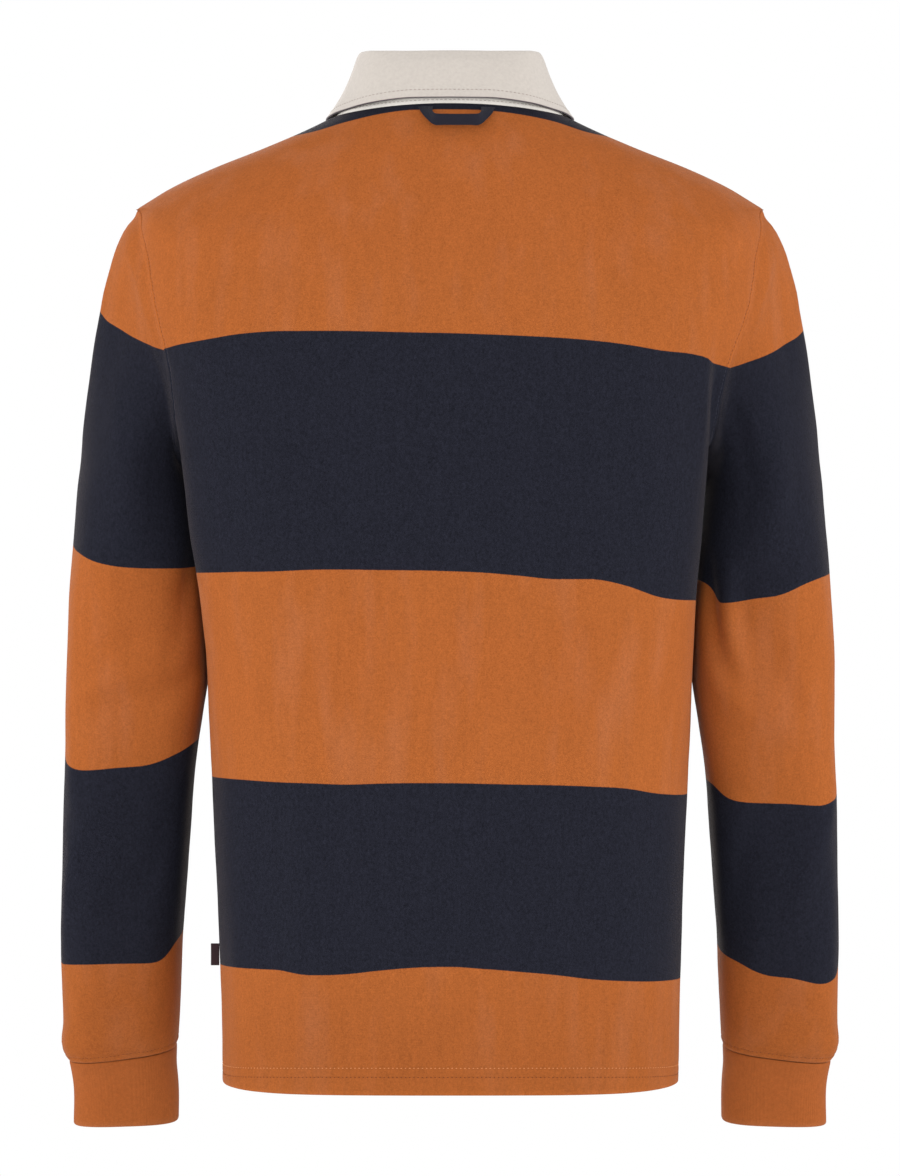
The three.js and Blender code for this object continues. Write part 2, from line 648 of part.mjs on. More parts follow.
/** Builds the whole garment. */
function buildGarment() {
  const back = cloth(panelGrid(true), false, -1, panelWall);
  const front = cloth(panelGrid(false), false, 1, panelWall);
  const sleeves = [1, -1].map((side) => {
    const sleeve = cloth(sleeveGrid(armholeLoop(back, front, side), side), true, side, () => JERSEY_WALL);
    sewSide(back, front, sleeve, side);
    return sleeve;
  });
  const cuffs = [1, -1].map((side) =>
    cloth(rings(CUFF, CUFF.map((row) => row.height), side), true, side, () => RIB_WALL));

  const spots = neckline(back, front);
  const stations = collarStations(spots);
  const stand = cloth(standGrid(stations), false, 1, () => TWILL_WALL);
  const fall = cloth(fallGrid(stations), false, -1, () => TWILL_WALL);
  sewNeck(spots, stand);

  const placket = cloth(placketGrid(), false, 1, () => TWILL_WALL);
  const loop = cloth(loopGrid(), false, 1, () => TAPE_WALL);
  const tab = new THREE.BoxGeometry(TAB.width, TAB.thickness, TAB.height);
  tab.translate(TAB.x, TAB.y, TAB.z);

  const solid = (piece) => wallGeometry(piece.outer, piece.inner, piece.closed);
  const group = new THREE.Group();
  group.name = "jersey_shirt";
  group.add(
    meshOf("back_panel", solid(back), COLOURS.rust, 0.9),
    meshOf("front_panel", solid(front), COLOURS.rust, 0.9),
    meshOf("sleeve_left", solid(sleeves[0]), COLOURS.rust, 0.9),
    meshOf("sleeve_right", solid(sleeves[1]), COLOURS.rust, 0.9),
    meshOf("cuff_left", solid(cuffs[0]), COLOURS.cuff, 0.9),
    meshOf("cuff_right", solid(cuffs[1]), COLOURS.cuff, 0.9),
    meshOf("collar_stand", solid(stand), COLOURS.cream, 0.85),
    meshOf("collar_fall", solid(fall), COLOURS.cream, 0.85),
    meshOf("placket", solid(placket), COLOURS.cream, 0.85),
    ...BUTTON_SIDES.map((side, i) =>
      meshOf(`button_${["top", "middle", "low"][i]}`, buttonGeometry(side), COLOURS.rubber, 0.6)),
    meshOf("hanging_loop", solid(loop), COLOURS.navy, 0.9),
    meshOf("side_tab", closedGeometry(tab), COLOURS.tab, 0.85),
  );
  return group;
}

/** Sews the collar stand to the tops of the two panels. */
function sewNeck(spots, stand) {
  const last = spots.length - 1;
  const shoulder = new Set([PANEL_HALF_COLUMNS, 3 * PANEL_HALF_COLUMNS]);
  const shared = even(spots.map(({ piece, i, j }, k) => {
    const own = piece.normals[j][i];
    const other = shoulder.has(k)
      ? spots[k + (spots[k - 1].piece === piece ? 1 : -1)].piece.normals[j][i]
      : own;
    return between(between(own, other), stand.normals[0][k]);
  }), false);
  const line = spots.map(({ point }) => point);
  const downwards = spots.map(({ piece, i, j, point }) => piece.points[j - 1][i].clone().sub(point));
  const upwards = stand.points[1].map((p, k) => p.clone().sub(stand.points[0][k]));
  pullBack(line, shared, downwards, false).forEach((shift, k) => {
    const { piece, i, j } = spots[k];
    if (k !== last) sew(piece, j, i, shared[k], shift);
    if (shoulder.has(k)) {
      const other = spots[k + (spots[k - 1].piece === piece ? 1 : -1)].piece;
      sew(other, j, i, shared[k], shift);
    }
  });
  pullBack(stand.points[0], shared, upwards, false).forEach((shift, k) => sew(stand, 0, k, shared[k], shift));
}

/** A closed wall from two grids of the same size, one vertex of each for each point. */
function wallGeometry(outer, inner, closed) {
  const rows = outer.length;
  const columns = outer[0].length;
  const positions = [...outer.flat(), ...inner.flat()].flatMap((p) => [p.x, p.y, p.z]);
  const at = (layer, j, i) => layer * rows * columns + j * columns + (i % columns);
  const index = [];
  const quad = (a, b, c, d) => index.push(a, b, c, a, c, d);
  const spans = closed ? columns : columns - 1;
  for (let i = 0; i < spans; i += 1) {
    for (let j = 0; j < rows - 1; j += 1) {
      quad(at(0, j, i), at(0, j, i + 1), at(0, j + 1, i + 1), at(0, j + 1, i));
      quad(at(1, j, i), at(1, j + 1, i), at(1, j + 1, i + 1), at(1, j, i + 1));
    }
    quad(at(0, 0, i), at(1, 0, i), at(1, 0, i + 1), at(0, 0, i + 1));
    quad(at(0, rows - 1, i), at(0, rows - 1, i + 1), at(1, rows - 1, i + 1), at(1, rows - 1, i));
  }
  for (let j = 0; j < rows - 1 && !closed; j += 1) {
    quad(at(0, j, 0), at(0, j + 1, 0), at(1, j + 1, 0), at(1, j, 0));
    const end = columns - 1;
    quad(at(0, j, end), at(1, j, end), at(1, j + 1, end), at(0, j + 1, end));
  }
  return orientOutwards(positions, index);
}

/** Builds the geometry, turning every face round if the volume comes out negative. */
function orientOutwards(positions, index) {
  const corner = (k) => new THREE.Vector3().fromArray(positions, index[k] * 3);
  let volume = 0;
  for (let k = 0; k < index.length; k += 3) {
    volume += corner(k).dot(corner(k + 1).cross(corner(k + 2)));
  }
  if (volume < 0) {
    for (let k = 0; k < index.length; k += 3) [index[k], index[k + 1]] = [index[k + 1], index[k]];
  }
  const geometry = new THREE.BufferGeometry();
  geometry.setAttribute("position", new THREE.Float32BufferAttribute(positions, 3));
  geometry.setIndex(index);
  geometry.computeVertexNormals();
  return geometry;
}

export default buildGarment();
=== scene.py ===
"""A long-sleeved striped jersey shirt with a turned-down twill collar, filled out as if worn.

Every piece of cloth is a thin wall on the form of its solid, with its creases, seams and sewing.
The forms are worked out in millimetres, with +Z up, the front facing -Y and the wearer's left
at +X, and each mesh is then made in metres.
"""

from __future__ import annotations

import logging
import math
from dataclasses import dataclass
from enum import Enum
from typing import Callable, Sequence

import bpy
import numpy as np
from mathutils import Matrix, Vector, noise
from numpy.typing import NDArray

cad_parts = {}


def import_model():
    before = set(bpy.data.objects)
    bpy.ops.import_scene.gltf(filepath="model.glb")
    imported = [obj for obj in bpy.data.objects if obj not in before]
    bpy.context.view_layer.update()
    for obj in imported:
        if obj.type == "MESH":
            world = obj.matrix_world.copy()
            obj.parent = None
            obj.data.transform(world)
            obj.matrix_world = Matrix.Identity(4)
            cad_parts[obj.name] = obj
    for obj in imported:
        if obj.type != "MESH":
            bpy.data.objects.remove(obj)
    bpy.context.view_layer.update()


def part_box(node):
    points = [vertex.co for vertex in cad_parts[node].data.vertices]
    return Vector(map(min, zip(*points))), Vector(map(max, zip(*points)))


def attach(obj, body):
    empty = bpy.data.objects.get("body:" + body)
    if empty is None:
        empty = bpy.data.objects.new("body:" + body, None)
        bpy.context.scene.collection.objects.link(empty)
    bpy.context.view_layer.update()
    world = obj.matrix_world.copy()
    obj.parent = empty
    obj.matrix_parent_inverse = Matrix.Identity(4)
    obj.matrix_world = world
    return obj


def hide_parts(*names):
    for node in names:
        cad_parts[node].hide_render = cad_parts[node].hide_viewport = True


log = logging.getLogger("shirt")

Array = NDArray[np.float64]
Colour = tuple[float, float, float]
Piece = bpy.types.Object
Socket = bpy.types.NodeSocket

MILLIMETRE = 0.001
DEGREES = math.pi / 180


class Face(Enum):
    """The two halves of the trunk; the value is the sign of the normal's turn."""

    BACK = -1
    FRONT = 1


class Hand(Enum):
    """The wearer's two sides; the value is the sign of x."""

    LEFT = 1
    RIGHT = -1


class Table:
    """Rows of numbers under named columns, read between the rows along smooth curves."""

    def __init__(self, names: str, *rows: Sequence[float]) -> None:
        """Keeps each column under its name.

        Args:
            names: The columns' names, with spaces between them.
            rows: The rows of numbers.
        """
        values = np.array(rows, float)
        self.columns = {name: values[:, i] for i, name in enumerate(names.split())}

    def read(self, by: str, name: str, at: Array | float) -> Array:
        """Reads a column where another one has the given values.

        Args:
            by: The column that is looked up, which only rises or only falls.
            name: The column that is read.
            at: The values of the first column.

        Returns:
            The values of the second column, of the same shape.
        """
        x, y = self.columns[by], self.columns[name]
        if x[0] > x[-1]:
            x, y = x[::-1], y[::-1]
        slope = np.diff(y) / np.diff(x)
        before, after = slope[:-1], slope[1:]
        share = (x[1:-1] - x[:-2]) / (x[2:] - x[:-2])
        inner = np.where(before * after > 0, before * (1 - share) + after * share, 0)
        tangent = np.concatenate([slope[:1], inner, slope[-1:]])
        at = np.clip(np.asarray(at, float), x[0], x[-1])
        i = np.clip(np.searchsorted(x, at, side="right") - 1, 0, len(x) - 2)
        span = x[i + 1] - x[i]
        t = (at - x[i]) / span
        p, q, m, n = y[i], y[i + 1], tangent[i] * span, tangent[i + 1] * span
        return (2 * p - 2 * q + m + n) * t**3 + (3 * q - 3 * p - 2 * m - n) * t**2 + m * t + p

    def reader(self, by: str, at: Array | float) -> Callable[[str], Array]:
        """What reads any column where another one has the given values."""
        return lambda name: self.read(by, name, at)


# The trunk, one row for each height on the side line, as the solids have it
TRUNK = Table(
    "side half left_corner right_corner front_corner ridge"
    " back_y back_z front_y front_z back_power front_power",
    (-706, 166, 166, 166, 166, 0, 117, -703, -113, -702, 2.6, 2.5),
    (-640, 166.5, 166.5, 166.5, 166.5, 0, 117, -638, -114, -637, 2.6, 2.5),
    (-560, 170, 170, 170, 170, 0, 116, -559, -115, -558, 2.6, 2.5),
    (-480, 173.5, 173.5, 173.5, 173.5, 0, 116, -480, -117, -479, 2.6, 2.5),
    (-408, 176, 178, 178, 176, 0, 119, -408, -121, -408, 2.7, 2.4),
    (-350, 174, 187, 183, 174, 0, 124, -350, -126, -350, 2.8, 2.4),
    (-300, 173, 195, 188, 173, 0, 128, -300, -131, -300, 2.9, 2.3),
    (-250, 168, 201, 193, 168, 0, 130, -252, -134, -252, 3, 2.3),
    (-215, 188, 206, 200, 189, -1, 130, -222, -133, -230, 3, 2.4),
    (-180, 208, 213, 211, 209, -2, 129, -191, -131, -209, 3, 2.5),
    (-140, 223, 223, 226, 220, -3, 126, -158, -128, -187, 2.9, 2.5),
    (-100, 229, 226, 229, 222, -4, 121, -126, -124, -166, 2.7, 2.5),
    (-67, 229, 216, 218, 211, -4, 114, -97, -120, -150, 2.6, 2.4),
    (-66, 227.2, 214.5, 216.4, 209.6, -3.8, 113.6, -95.6, -119.6, -149.1, 2.6, 2.4),
    (-60, 217.2, 205.5, 207, 201, -2.5, 111, -87.5, -117, -144, 2.55, 2.4),
    (-53, 205.5, 195, 196, 191, -1, 108, -78, -114, -138, 2.5, 2.4),
    (-38, 173.5, 166, 166, 164, 2, 99, -55, -106, -122, 2.4, 2.3),
    (-23, 134.8, 132, 132, 132, 6, 88, -30, -96, -103, 2.3, 2.2),
    (-9, 101.5, 100.5, 100.5, 101, 10, 75, -7.2, -84, -85, 2.2, 2.1),
    (0, 83, 83, 83, 83, 12, 66, 5.4, -75, -73, 2.1, 2.05),
)

# The sleeve below its cap and the cuff, one row for each height of the middle line
SLEEVE = Table(
    "height outer inner middle back front forward_lean side_lean",
    (-272, 272, 184, -14, 64, 74, 8, 0),
    (-340, 277, 179, -15, 59, 66, 11, -2),
    (-380, 279, 176.9, -17, 57, 61, 12, -3),
    (-410, 280, 177, -19, 55, 58, 13, -4),
    (-440, 280.5, 181.5, -22.5, 52.5, 54.5, 14, -5),
    (-470, 281, 185.8, -26, 50, 51, 15, -6),
    (-540, 281.8, 191, -40, 46, 46, 17, -9),
    (-610, 282.5, 195, -59, 43, 43, 17, -10),
    (-655, 282.4, 197, -73, 41, 41, 14, -9),
    (-678, 281.8, 198.2, -79, 40, 40, 9, -7),
    (-687, 277.4, 199.2, -82, 36, 36, 8, -7),
)
CUFF = Table(
    "height outer inner middle back front forward_lean side_lean",
    (-687.5, 277.2, 199.4, -82.2, 35.8, 35.8, 8, -7),
    (-700, 275.6, 198.8, -86, 33, 33, 7, -5),
    (-718, 275, 198, -91, 32, 32, 6, -3),
    (-740.5, 275, 197.6, -95.8, 31.2, 31.2, 5, -2),
)

# The power of each ring's sine and cosine: below 1 the ring is flatter than an oval
SQUARENESS = Table(
    "height squareness",
    (-270, 1),
    (-300, 0.86),
    (-350, 0.68),
    (-420, 0.58),
    (-620, 0.6),
    (-742, 0.72),
)

# How far the sleeve and cuff stand out past their solids, all round and on the outer side
SPREAD = Table(
    "height all_round outer",
    (-67, 0, 0),
    (-82, 0, 7),
    (-96, 0, 10.8),
    (-111, 0, 12),
    (-126, 0, 12.4),
    (-140, 0, 11.3),
    (-170, 0, 9.1),
    (-199, 0, 6),
    (-228, 0, 3.1),
    (-257, 0, 0.8),
    (-450, 0, 0.8),
    (-508, 0.8, 1.6),
    (-552, 1.6, 1.7),
    (-597, 2.8, 1.7),
    (-656, 3.6, 1),
    (-686, 4.4, 1.6),
    (-700, 5.2, 0.8),
    (-742, 5.2, 0.4),
)

# The collar by its turn from the centre back, and the section of its outer leaf
COLLAR = Table(
    "turn fold_x fold_y fold_z edge_x edge_y edge_z",
    (0, 0, 50, 43.9, 0, 68.9, 9.2),
    (20, 22, 47.5, 43.9, 26.5, 66.4, 9.2),
    (45, 47, 36, 45, 57, 58, 6.5),
    (68, 59.3, 18, 46.4, 75, 39.4, 3.4),
    (80, 62.2, 8, 46, 83.6, 26.8, 1.6),
    (90, 62.9, -2, 43, 88.5, 16, -0.4),
    (112, 59, -27, 26, 91, -14, -5),
    (135, 44, -44, 4, 84, -46, -29),
    (166, 14, -61, -38, 57, -94, -82),
    (180, 1.2, -63, -45, 40, -103, -103),
)
FALL_SECTION = Table(
    "step out up along bow",
    (0, -1.6, 0, 0, 0),
    (1, 0.6, 0.2, 0, 0),
    (2, 2.6, -0.8, 0, 0),
    (3, 4, -2.6, 0.02, 0),
    (4, 4.5, -3.2, 0.24, 1.4),
    (5, 4.5, -3.2, 0.5, 1.8),
    (6, 4.5, -3.2, 0.76, 1.2),
    (7, 4.5, -3.2, 1, 0),
)

# Half of the hanging loop, from the middle to the end in the neck seam
LOOP = Table(
    "step upper_x upper_z upper_lift lower_x lower_z lower_lift",
    (0, 0, -4.8, 15, 0, -12.6, 9.7),
    (1, 7, -4.7, 14.6, 8.5, -12.5, 9.4),
    (2, 14, -4.4, 12.5, 15.6, -12.4, 8.2),
    (3, 16.6, -2.6, 8, 20.8, -8.2, 5.5),
    (4, 17.2, -0.6, 3.5, 25, -3.2, 2.5),
    (5, 17.2, 1.6, -0.5, 27.4, 1.6, -0.5),
)

# Heights on the side line
HEM_HEIGHT = -706.0
UNDERARM_HEIGHT = -250.0
TIP_HEIGHT = -67.0
NECK_HEIGHT = 0.0

# How the armhole runs, and how the sleeve leaves it
TUCK_REACH = 34.0
ARMHOLE_SWING = {Face.BACK: -21.0, Face.FRONT: 27.0}
ARMHOLE_WIDENING = 0.15
CAP_DROOP = 0.8
CAP_START = 0.75
CAP_END = 0.9
UNDERARM_SHARE = 0.4
UNDERARM_DIRECTION = (0.75, 0.0, -0.66)
SLEEVE_RADIUS = 46.0

# How finely each grid is made
DENSE_STEPS = 400
HALF_COLUMNS = 44
ARMHOLE_STEPS = 54
SEAM_COLUMNS = (9, 7, 5.6, 4.9, 4.5, 4.1, 3.4, 2.4, 1.5, 0.8, 0.3, 0)
HEM_ROWS = (
    *(0.1, 0.35, 0.7, 1.2, 2, 4, 7.5, 11, 12.3, 12.7, 13, 13.3, 13.7),
    *(15, 17.5, 18.8, 19.2, 19.5, 19.8, 20.2, 22),
)
TORSO_STEP = 4.1
SHOULDER_STEPS = 40
NECK_ROWS = (-2.6, -1.8, -1.2, -0.7, -0.35, -0.1, NECK_HEIGHT)


def vectors(x: Array | float, y: Array | float, z: Array | float) -> Array:
    """Points or directions from their three parts."""
    return np.stack(np.broadcast_arrays(x, y, z), axis=-1).astype(float)


def unit(v: Array) -> Array:
    """The same directions with a length of one."""
    return v / np.maximum(np.linalg.norm(v, axis=-1, keepdims=True), 1e-9)


def ease(value: Array | float, low: float, high: float) -> Array:
    """Rises smoothly from 0 at low to 1 at high."""
    t = np.clip((np.asarray(value, float) - low) / (high - low), 0, 1)
    return t * t * (3 - 2 * t)


def signed_power(value: Array, power: Array) -> Array:
    """A power that keeps its sign."""
    return np.sign(value) * np.abs(value) ** power


def trunk_point(side: Array | float, turn: Array | float) -> Array:
    """The trunk's outer surface.

    Args:
        side: The height on the side line.
        turn: The turn in degrees from the centre back, positive to the wearer's left.

    Returns:
        The points, in millimetres.
    """
    side, turn = np.broadcast_arrays(side, turn)
    at = TRUNK.reader("side", side)
    sine, cosine = np.sin(turn * DEGREES), np.cos(turn * DEGREES)
    behind = cosine >= 0
    power = 2 / np.where(behind, at("back_power"), at("front_power"))
    across = (np.where(behind, at("back_y"), at("front_y")) - at("ridge")) * np.abs(cosine) ** power
    rear = np.where(sine >= 0, at("left_corner"), at("right_corner"))
    corner = np.where(behind, rear, at("front_corner"))
    tuck = (corner - at("half")) * np.exp(-((across / TUCK_REACH) ** 2))
    x = signed_power(sine, power) * corner - np.sign(sine) * tuck
    z = side * sine**2 + np.where(behind, at("back_z"), at("front_z")) * cosine**2
    return vectors(x, at("ridge") + across, z)


def panel_point(side: Array | float, x: Array | float, face: Face) -> Array:
    """Finds a point of the back or front by its distance across.

    Args:
        side: The height on the side line.
        x: The distance across.
        face: Which half it is on.

    Returns:
        The points, in millimetres.
    """
    side, x = np.broadcast_arrays(side, x)
    at = TRUNK.reader("side", side)
    behind = face is Face.BACK
    rear = np.where(x >= 0, at("left_corner"), at("right_corner"))
    width = rear if behind else at("front_corner")
    power = at("back_power" if behind else "front_power") / 2
    turn = np.arcsin(np.clip(np.abs(x / width) ** power, 0, 1)) / DEGREES
    sign = np.where(x >= 0, 1, -1)
    return trunk_point(side, sign * (turn if behind else 180 - turn))


def front_normal(side: Array | float, x: Array | float) -> Array:
    """Finds the direction straight out of the front near a point.

    Args:
        side: The height on the side line.
        x: The distance across.

    Returns:
        A unit vector for each point.
    """
    right, left = (panel_point(side, x + step, Face.FRONT) for step in (2, -2))
    above, below = (panel_point(side + step, x, Face.FRONT) for step in (2, -2))
    return unit(np.cross(right - left, above - below))


def ring_point(shape: Table, height: Array, angle: Array, hand: Hand) -> Array:
    """Finds points on the rings of a sleeve or cuff.

    Args:
        shape: The table of its rings.
        height: The height of the ring's middle.
        angle: 0 at the inner edge, 90 at the back and 180 at the outer edge.
        hand: The side that it is on.

    Returns:
        The points, in millimetres.
    """
    at = shape.reader("height", height)
    squareness = SQUARENESS.read("height", "squareness", height)
    cosine, sine = (signed_power(f(angle * DEGREES), squareness) for f in (np.cos, np.sin))
    across = -cosine * (at("outer") - at("inner")) / 2
    along = sine * np.where(sine >= 0, at("back"), at("front"))
    lean = across * np.tan(at("side_lean") * DEGREES) - along * np.tan(at("forward_lean") * DEGREES)
    centre = (at("outer") + at("inner")) / 2
    return vectors(hand.value * (centre + across), at("middle") + along, height + lean)


def spread(points: Array, angle: Array, hand: Hand) -> Array:
    """How far points of a sleeve or cuff move sideways, past the form of its solid."""
    all_round, outer = (SPREAD.read("height", name, points[..., 2]) for name in ("all_round", "outer"))
    return hand.value * (all_round + outer * ((1 - np.cos(angle * DEGREES)) / 2) ** 1.5)


def grid_normals(points: Array, closed: bool, sign: float) -> Array:
    """Outward directions of a grid of points.

    Args:
        points: The grid, row by row.
        closed: Whether each row runs round to its start.
        sign: 1 or -1, for the side that is the outer one.

    Returns:
        A unit vector for each point.
    """
    if closed:
        across = np.roll(points, -1, axis=1) - np.roll(points, 1, axis=1)
    else:
        across = np.gradient(points, axis=1)
    return unit(np.cross(across, np.gradient(points, axis=0))) * sign


def settle(directions: Array, passes: int, closed: bool) -> Array:
    """Evens out the directions along a seam line.

    Args:
        directions: One unit vector for each point.
        passes: How many times they are evened out.
        closed: Whether the line runs round to its start.

    Returns:
        The new unit vectors.
    """
    for _ in range(passes):
        if closed:
            before, after = np.roll(directions, 1, axis=0), np.roll(directions, -1, axis=0)
        else:
            before = np.concatenate([directions[:1], directions[:-1]])
            after = np.concatenate([directions[1:], directions[-1:]])
        directions = unit(before + 2 * directions + after)
    return directions


def run_lengths(points: Array, axis: int) -> Array:
    """How far each point lies along its row, or its column for axis 0, from the first one."""
    steps = np.linalg.norm(np.diff(points, axis=axis), axis=-1)
    return np.insert(np.cumsum(steps, axis=axis), 0, 0.0, axis=axis)


# How the cloth is made up
JERSEY_WALL = 1.3
HEM_WALL = 2.6
RIB_WALL = 2.2
TWILL_WALL = 1.5
TAPE_WALL = 1.1
SEAM_DROP = 0.9
SEAM_REACH = 3.0
SEAM_BLEND = 6.0
EDGE_CLOSING = 0.96
TOPSTITCH = 4.5
HEM_STITCHES = (13.0, 19.5)
CUFF_STITCH = 5.6
COLLAR_STITCH = 5.8
FOOT_STITCH = 2.6
BOX_STITCH = 16.0

# How strongly the folds show, how far the seams are rubbed, and how dark the painted shade along the seams is
TRUNK_FOLDS = 1.5
SLEEVE_FOLDS = 1.35
CUFF_PUCKER = 0.34
SEAM_WEAR = 0.16
HEM_WEAR = 0.25
TRUNK_SEAM_SHADE = 0.8
SLEEVE_SEAM_SHADE = 0.7

# The heights where the bands of colour change, across the back, from the neck down
BACK_BANDS = Table(
    "x strip upper_top upper_low lower_top lower_low",
    (-206, -10, -185.5, -352, -492.5, -626),
    (-196, -10, -184, -352, -492.5, -626),
    (-188, -10, -182, -352, -492.5, -626),
    (-182, -10, -178.6, -352, -492.5, -626),
    (-175, -10, -177, -352, -492.5, -626),
    (-150, -12, -174.5, -349.8, -490.5, -625.2),
    (-125, -16.5, -170.6, -341.5, -486, -623.6),
    (-100, -14.8, -167.8, -336.9, -484.2, -621.4),
    (-75, -7.3, -165.9, -336.9, -483.1, -617.9),
    (-50, -2.7, -164.7, -334.6, -482.5, -615.4),
    (-25, -0.4, -163.8, -332.4, -481.9, -613.3),
    (0, 0, -163, -331.3, -481.4, -611.7),
    (25, 0, -162.4, -330.7, -481.4, -612.3),
    (50, -2.3, -161.7, -330.5, -481.8, -614.5),
    (75, -7.4, -161.2, -330.1, -482.6, -617.4),
    (100, -13.9, -161.1, -330.3, -481.9, -618.4),
    (125, -15.5, -161.2, -331.3, -481.4, -615.6),
    (150, -12, -162.8, -331.8, -480.3, -615.6),
    (175, -10, -166.4, -332.2, -479.8, -616.3),
    (185, -10, -167.8, -332.2, -479.8, -616.3),
    (193, -10, -168.9, -332.2, -479.8, -616.3),
    (206, -10, -171.5, -332.2, -479.8, -616.3),
)
FRONT_BANDS = Table(
    "x strip upper_top upper_low lower_top lower_low",
    (-175, -10, -177, -352, -492.5, -626),
    (-120, -14, -173, -345, -488, -622),
    (-60, -18, -170, -340, -486, -620),
    (0, -20, -168, -337, -485, -620),
    (60, -18, -166, -334, -484, -619),
    (120, -14, -165, -332, -482, -617),
    (175, -10, -166, -332.2, -479.8, -616.3),
)
# The same round each sleeve, by the angle of its ring
LEFT_BANDS = Table(
    "angle upper_top upper_low lower_top lower_low",
    (0, -190, -325, -452, -596),
    (30, -186, -327.7, -456, -603),
    (60, -178, -329, -464, -616.5),
    (90, -170, -328.7, -473, -618.5),
    (120, -161.5, -324.5, -475.4, -619.3),
    (150, -150.5, -317, -471.5, -619.6),
    (180, -140, -311, -463, -617),
    (225, -150, -318, -464, -614),
    (270, -166, -326, -466, -611),
    (315, -180, -328, -460, -604),
    (360, -190, -325, -452, -596),
)
RIGHT_BANDS = Table(
    "angle upper_top upper_low lower_top lower_low",
    (0, -196, -336, -483, -607),
    (30, -192, -339.5, -486, -612.5),
    (60, -188, -354, -496.5, -618.5),
    (90, -180.5, -350, -500, -628.5),
    (120, -172.5, -340, -501.3, -633.8),
    (150, -162, -334.5, -497, -630),
    (180, -154, -332, -491, -618),
    (225, -156, -338, -492, -620),
    (270, -172, -345, -494, -618),
    (315, -185, -342, -488, -611),
    (360, -196, -336, -483, -607),
)
BAND_EDGES = ("strip", "upper_top", "upper_low", "lower_top", "lower_low")
BAND_ABOVE = 140.0
BAND_BELOW = -760.0
EDGE_REACH = 12.0
EDGE_SLOPE = 1 / 150

# Soft folds: where each starts and ends, its half width, its rise (a trough is below zero) and
# how far it bows sideways. On a trunk panel they lie by x and height, on a sleeve by the distance
# round from the outer line and height.
FOLD_COLUMNS = "from_x from_z to_x to_z width rise bow"
BACK_FOLDS = Table(
    FOLD_COLUMNS,
    (128, -150, 118, -345, 9, 0.9, 5),
    (96, -190, 104, -320, 13, -0.6, -4),
    (108, -470, 112, -640, 11, 1.5, 6),
    (134, -500, 128, -690, 9, -1, 4),
    (150, -560, 146, -700, 8, 0.9, -3),
    (60, -480, 44, -590, 14, 0.9, 6),
    (20, -400, 34, -660, 20, -0.7, 8),
    (-66, -215, -104, -345, 13, -0.8, -6),
    (-92, -250, -118, -352, 10, 1.2, 5),
    (-142, -160, -146, -300, 10, 0.9, -4),
    (-182, -150, -180, -262, 6, 1.6, 0),
    (-194, -156, -192, -262, 6, -3.2, 0),
    (-166, -590, -162, -690, 8, 0.8, 2),
    (158, -250, 150, -420, 9, -0.7, 3),
    (-124, -480, -146, -640, 12, 1.1, -6),
    (-78, -520, -96, -700, 15, -0.9, 5),
    (-30, -350, -18, -560, 22, 0.6, -6),
    (0, -90, 14, -250, 30, 0.5, 8),
    (-150, -330, -60, -390, 12, 0.7, -10),
    (150, -330, 92, -372, 12, 0.6, 8),
)
FRONT_FOLDS = Table(
    FOLD_COLUMNS,
    (150, -232, 78, -318, 13, 1.6, 10),
    (158, -262, 96, -372, 12, -1.4, 9),
    (-150, -232, -82, -312, 13, 1.5, -10),
    (-156, -266, -100, -380, 12, -1.3, -8),
    (112, -420, 120, -640, 14, 1.3, 6),
    (64, -470, 52, -660, 18, -1, -6),
    (-58, -430, -48, -640, 18, 1, 6),
    (-116, -450, -124, -670, 13, -1.2, -5),
    (-24, -330, -18, -520, 20, 0.7, 6),
    (30, -290, 26, -420, 16, -0.7, -5),
    (142, -520, 146, -690, 9, 1, 3),
    (-146, -500, -148, -690, 9, 1, -3),
)
LEFT_SLEEVE_FOLDS = Table(
    FOLD_COLUMNS,
    (-118, -318, -78, -392, 9, -2.6, 5),
    (-108, -372, -34, -404, 8, -1.5, -4),
    (-110, -392, -30, -428, 9, 1.4, -4),
    (-96, -560, -20, -500, 12, -1.3, 5),
    (-112, -352, -66, -412, 8, 2, -5),
    (-116, -398, -60, -428, 9, -2.2, 4),
    (-40, -190, -66, -300, 12, 1.2, 5),
    (-88, -230, -84, -330, 10, -1.2, 4),
    (-64, -490, -22, -610, 12, 1.5, -7),
    (-96, -500, -58, -600, 11, -1.2, 6),
    (-20, -330, -34, -520, 14, 0.8, 5),
    (96, -398, 30, -446, 9, -2.6, 6),
    (100, -436, 24, -470, 8, 2.2, -5),
    (92, -470, 30, -492, 8, -2.2, 4),
    (64, -250, 96, -350, 12, 1.3, -5),
    (40, -540, 66, -650, 12, 1.3, 6),
    (-50, -640, -30, -676, 9, 0.8, 2),
    (60, -636, 84, -676, 9, 0.9, 2),
)
RIGHT_SLEEVE_FOLDS = Table(
    FOLD_COLUMNS,
    (-116, -322, -88, -404, 8, -3.2, 5),
    (-96, -326, -74, -412, 7, 2.2, 4),
    (-82, -330, -62, -432, 8, -2.2, 5),
    (-112, -400, -66, -452, 10, 1.8, -5),
    (-56, -230, -70, -310, 9, 1.8, -4),
    (-92, -200, -88, -306, 10, -1.8, -4),
    (-22, -490, -84, -620, 12, 1.9, 6),
    (-52, -470, -104, -590, 12, -1.5, 5),
    (-14, -300, -30, -470, 15, 0.9, -5),
    (92, -402, 28, -450, 9, -2.6, 6),
    (98, -440, 24, -474, 8, 2.2, -5),
    (90, -474, 30, -498, 8, -2.1, 4),
    (62, -254, 94, -352, 12, 1.3, -5),
    (42, -546, 70, -650, 12, 1.2, 6),
    (-44, -640, -26, -676, 9, 0.9, 2),
    (58, -640, 84, -676, 9, 0.8, 2),
)
SWELL_SIZE = 46.0
SWELL_RISE = 0.5
RIPPLE_SIZE = 15.0
RIPPLE_RISE = 0.12


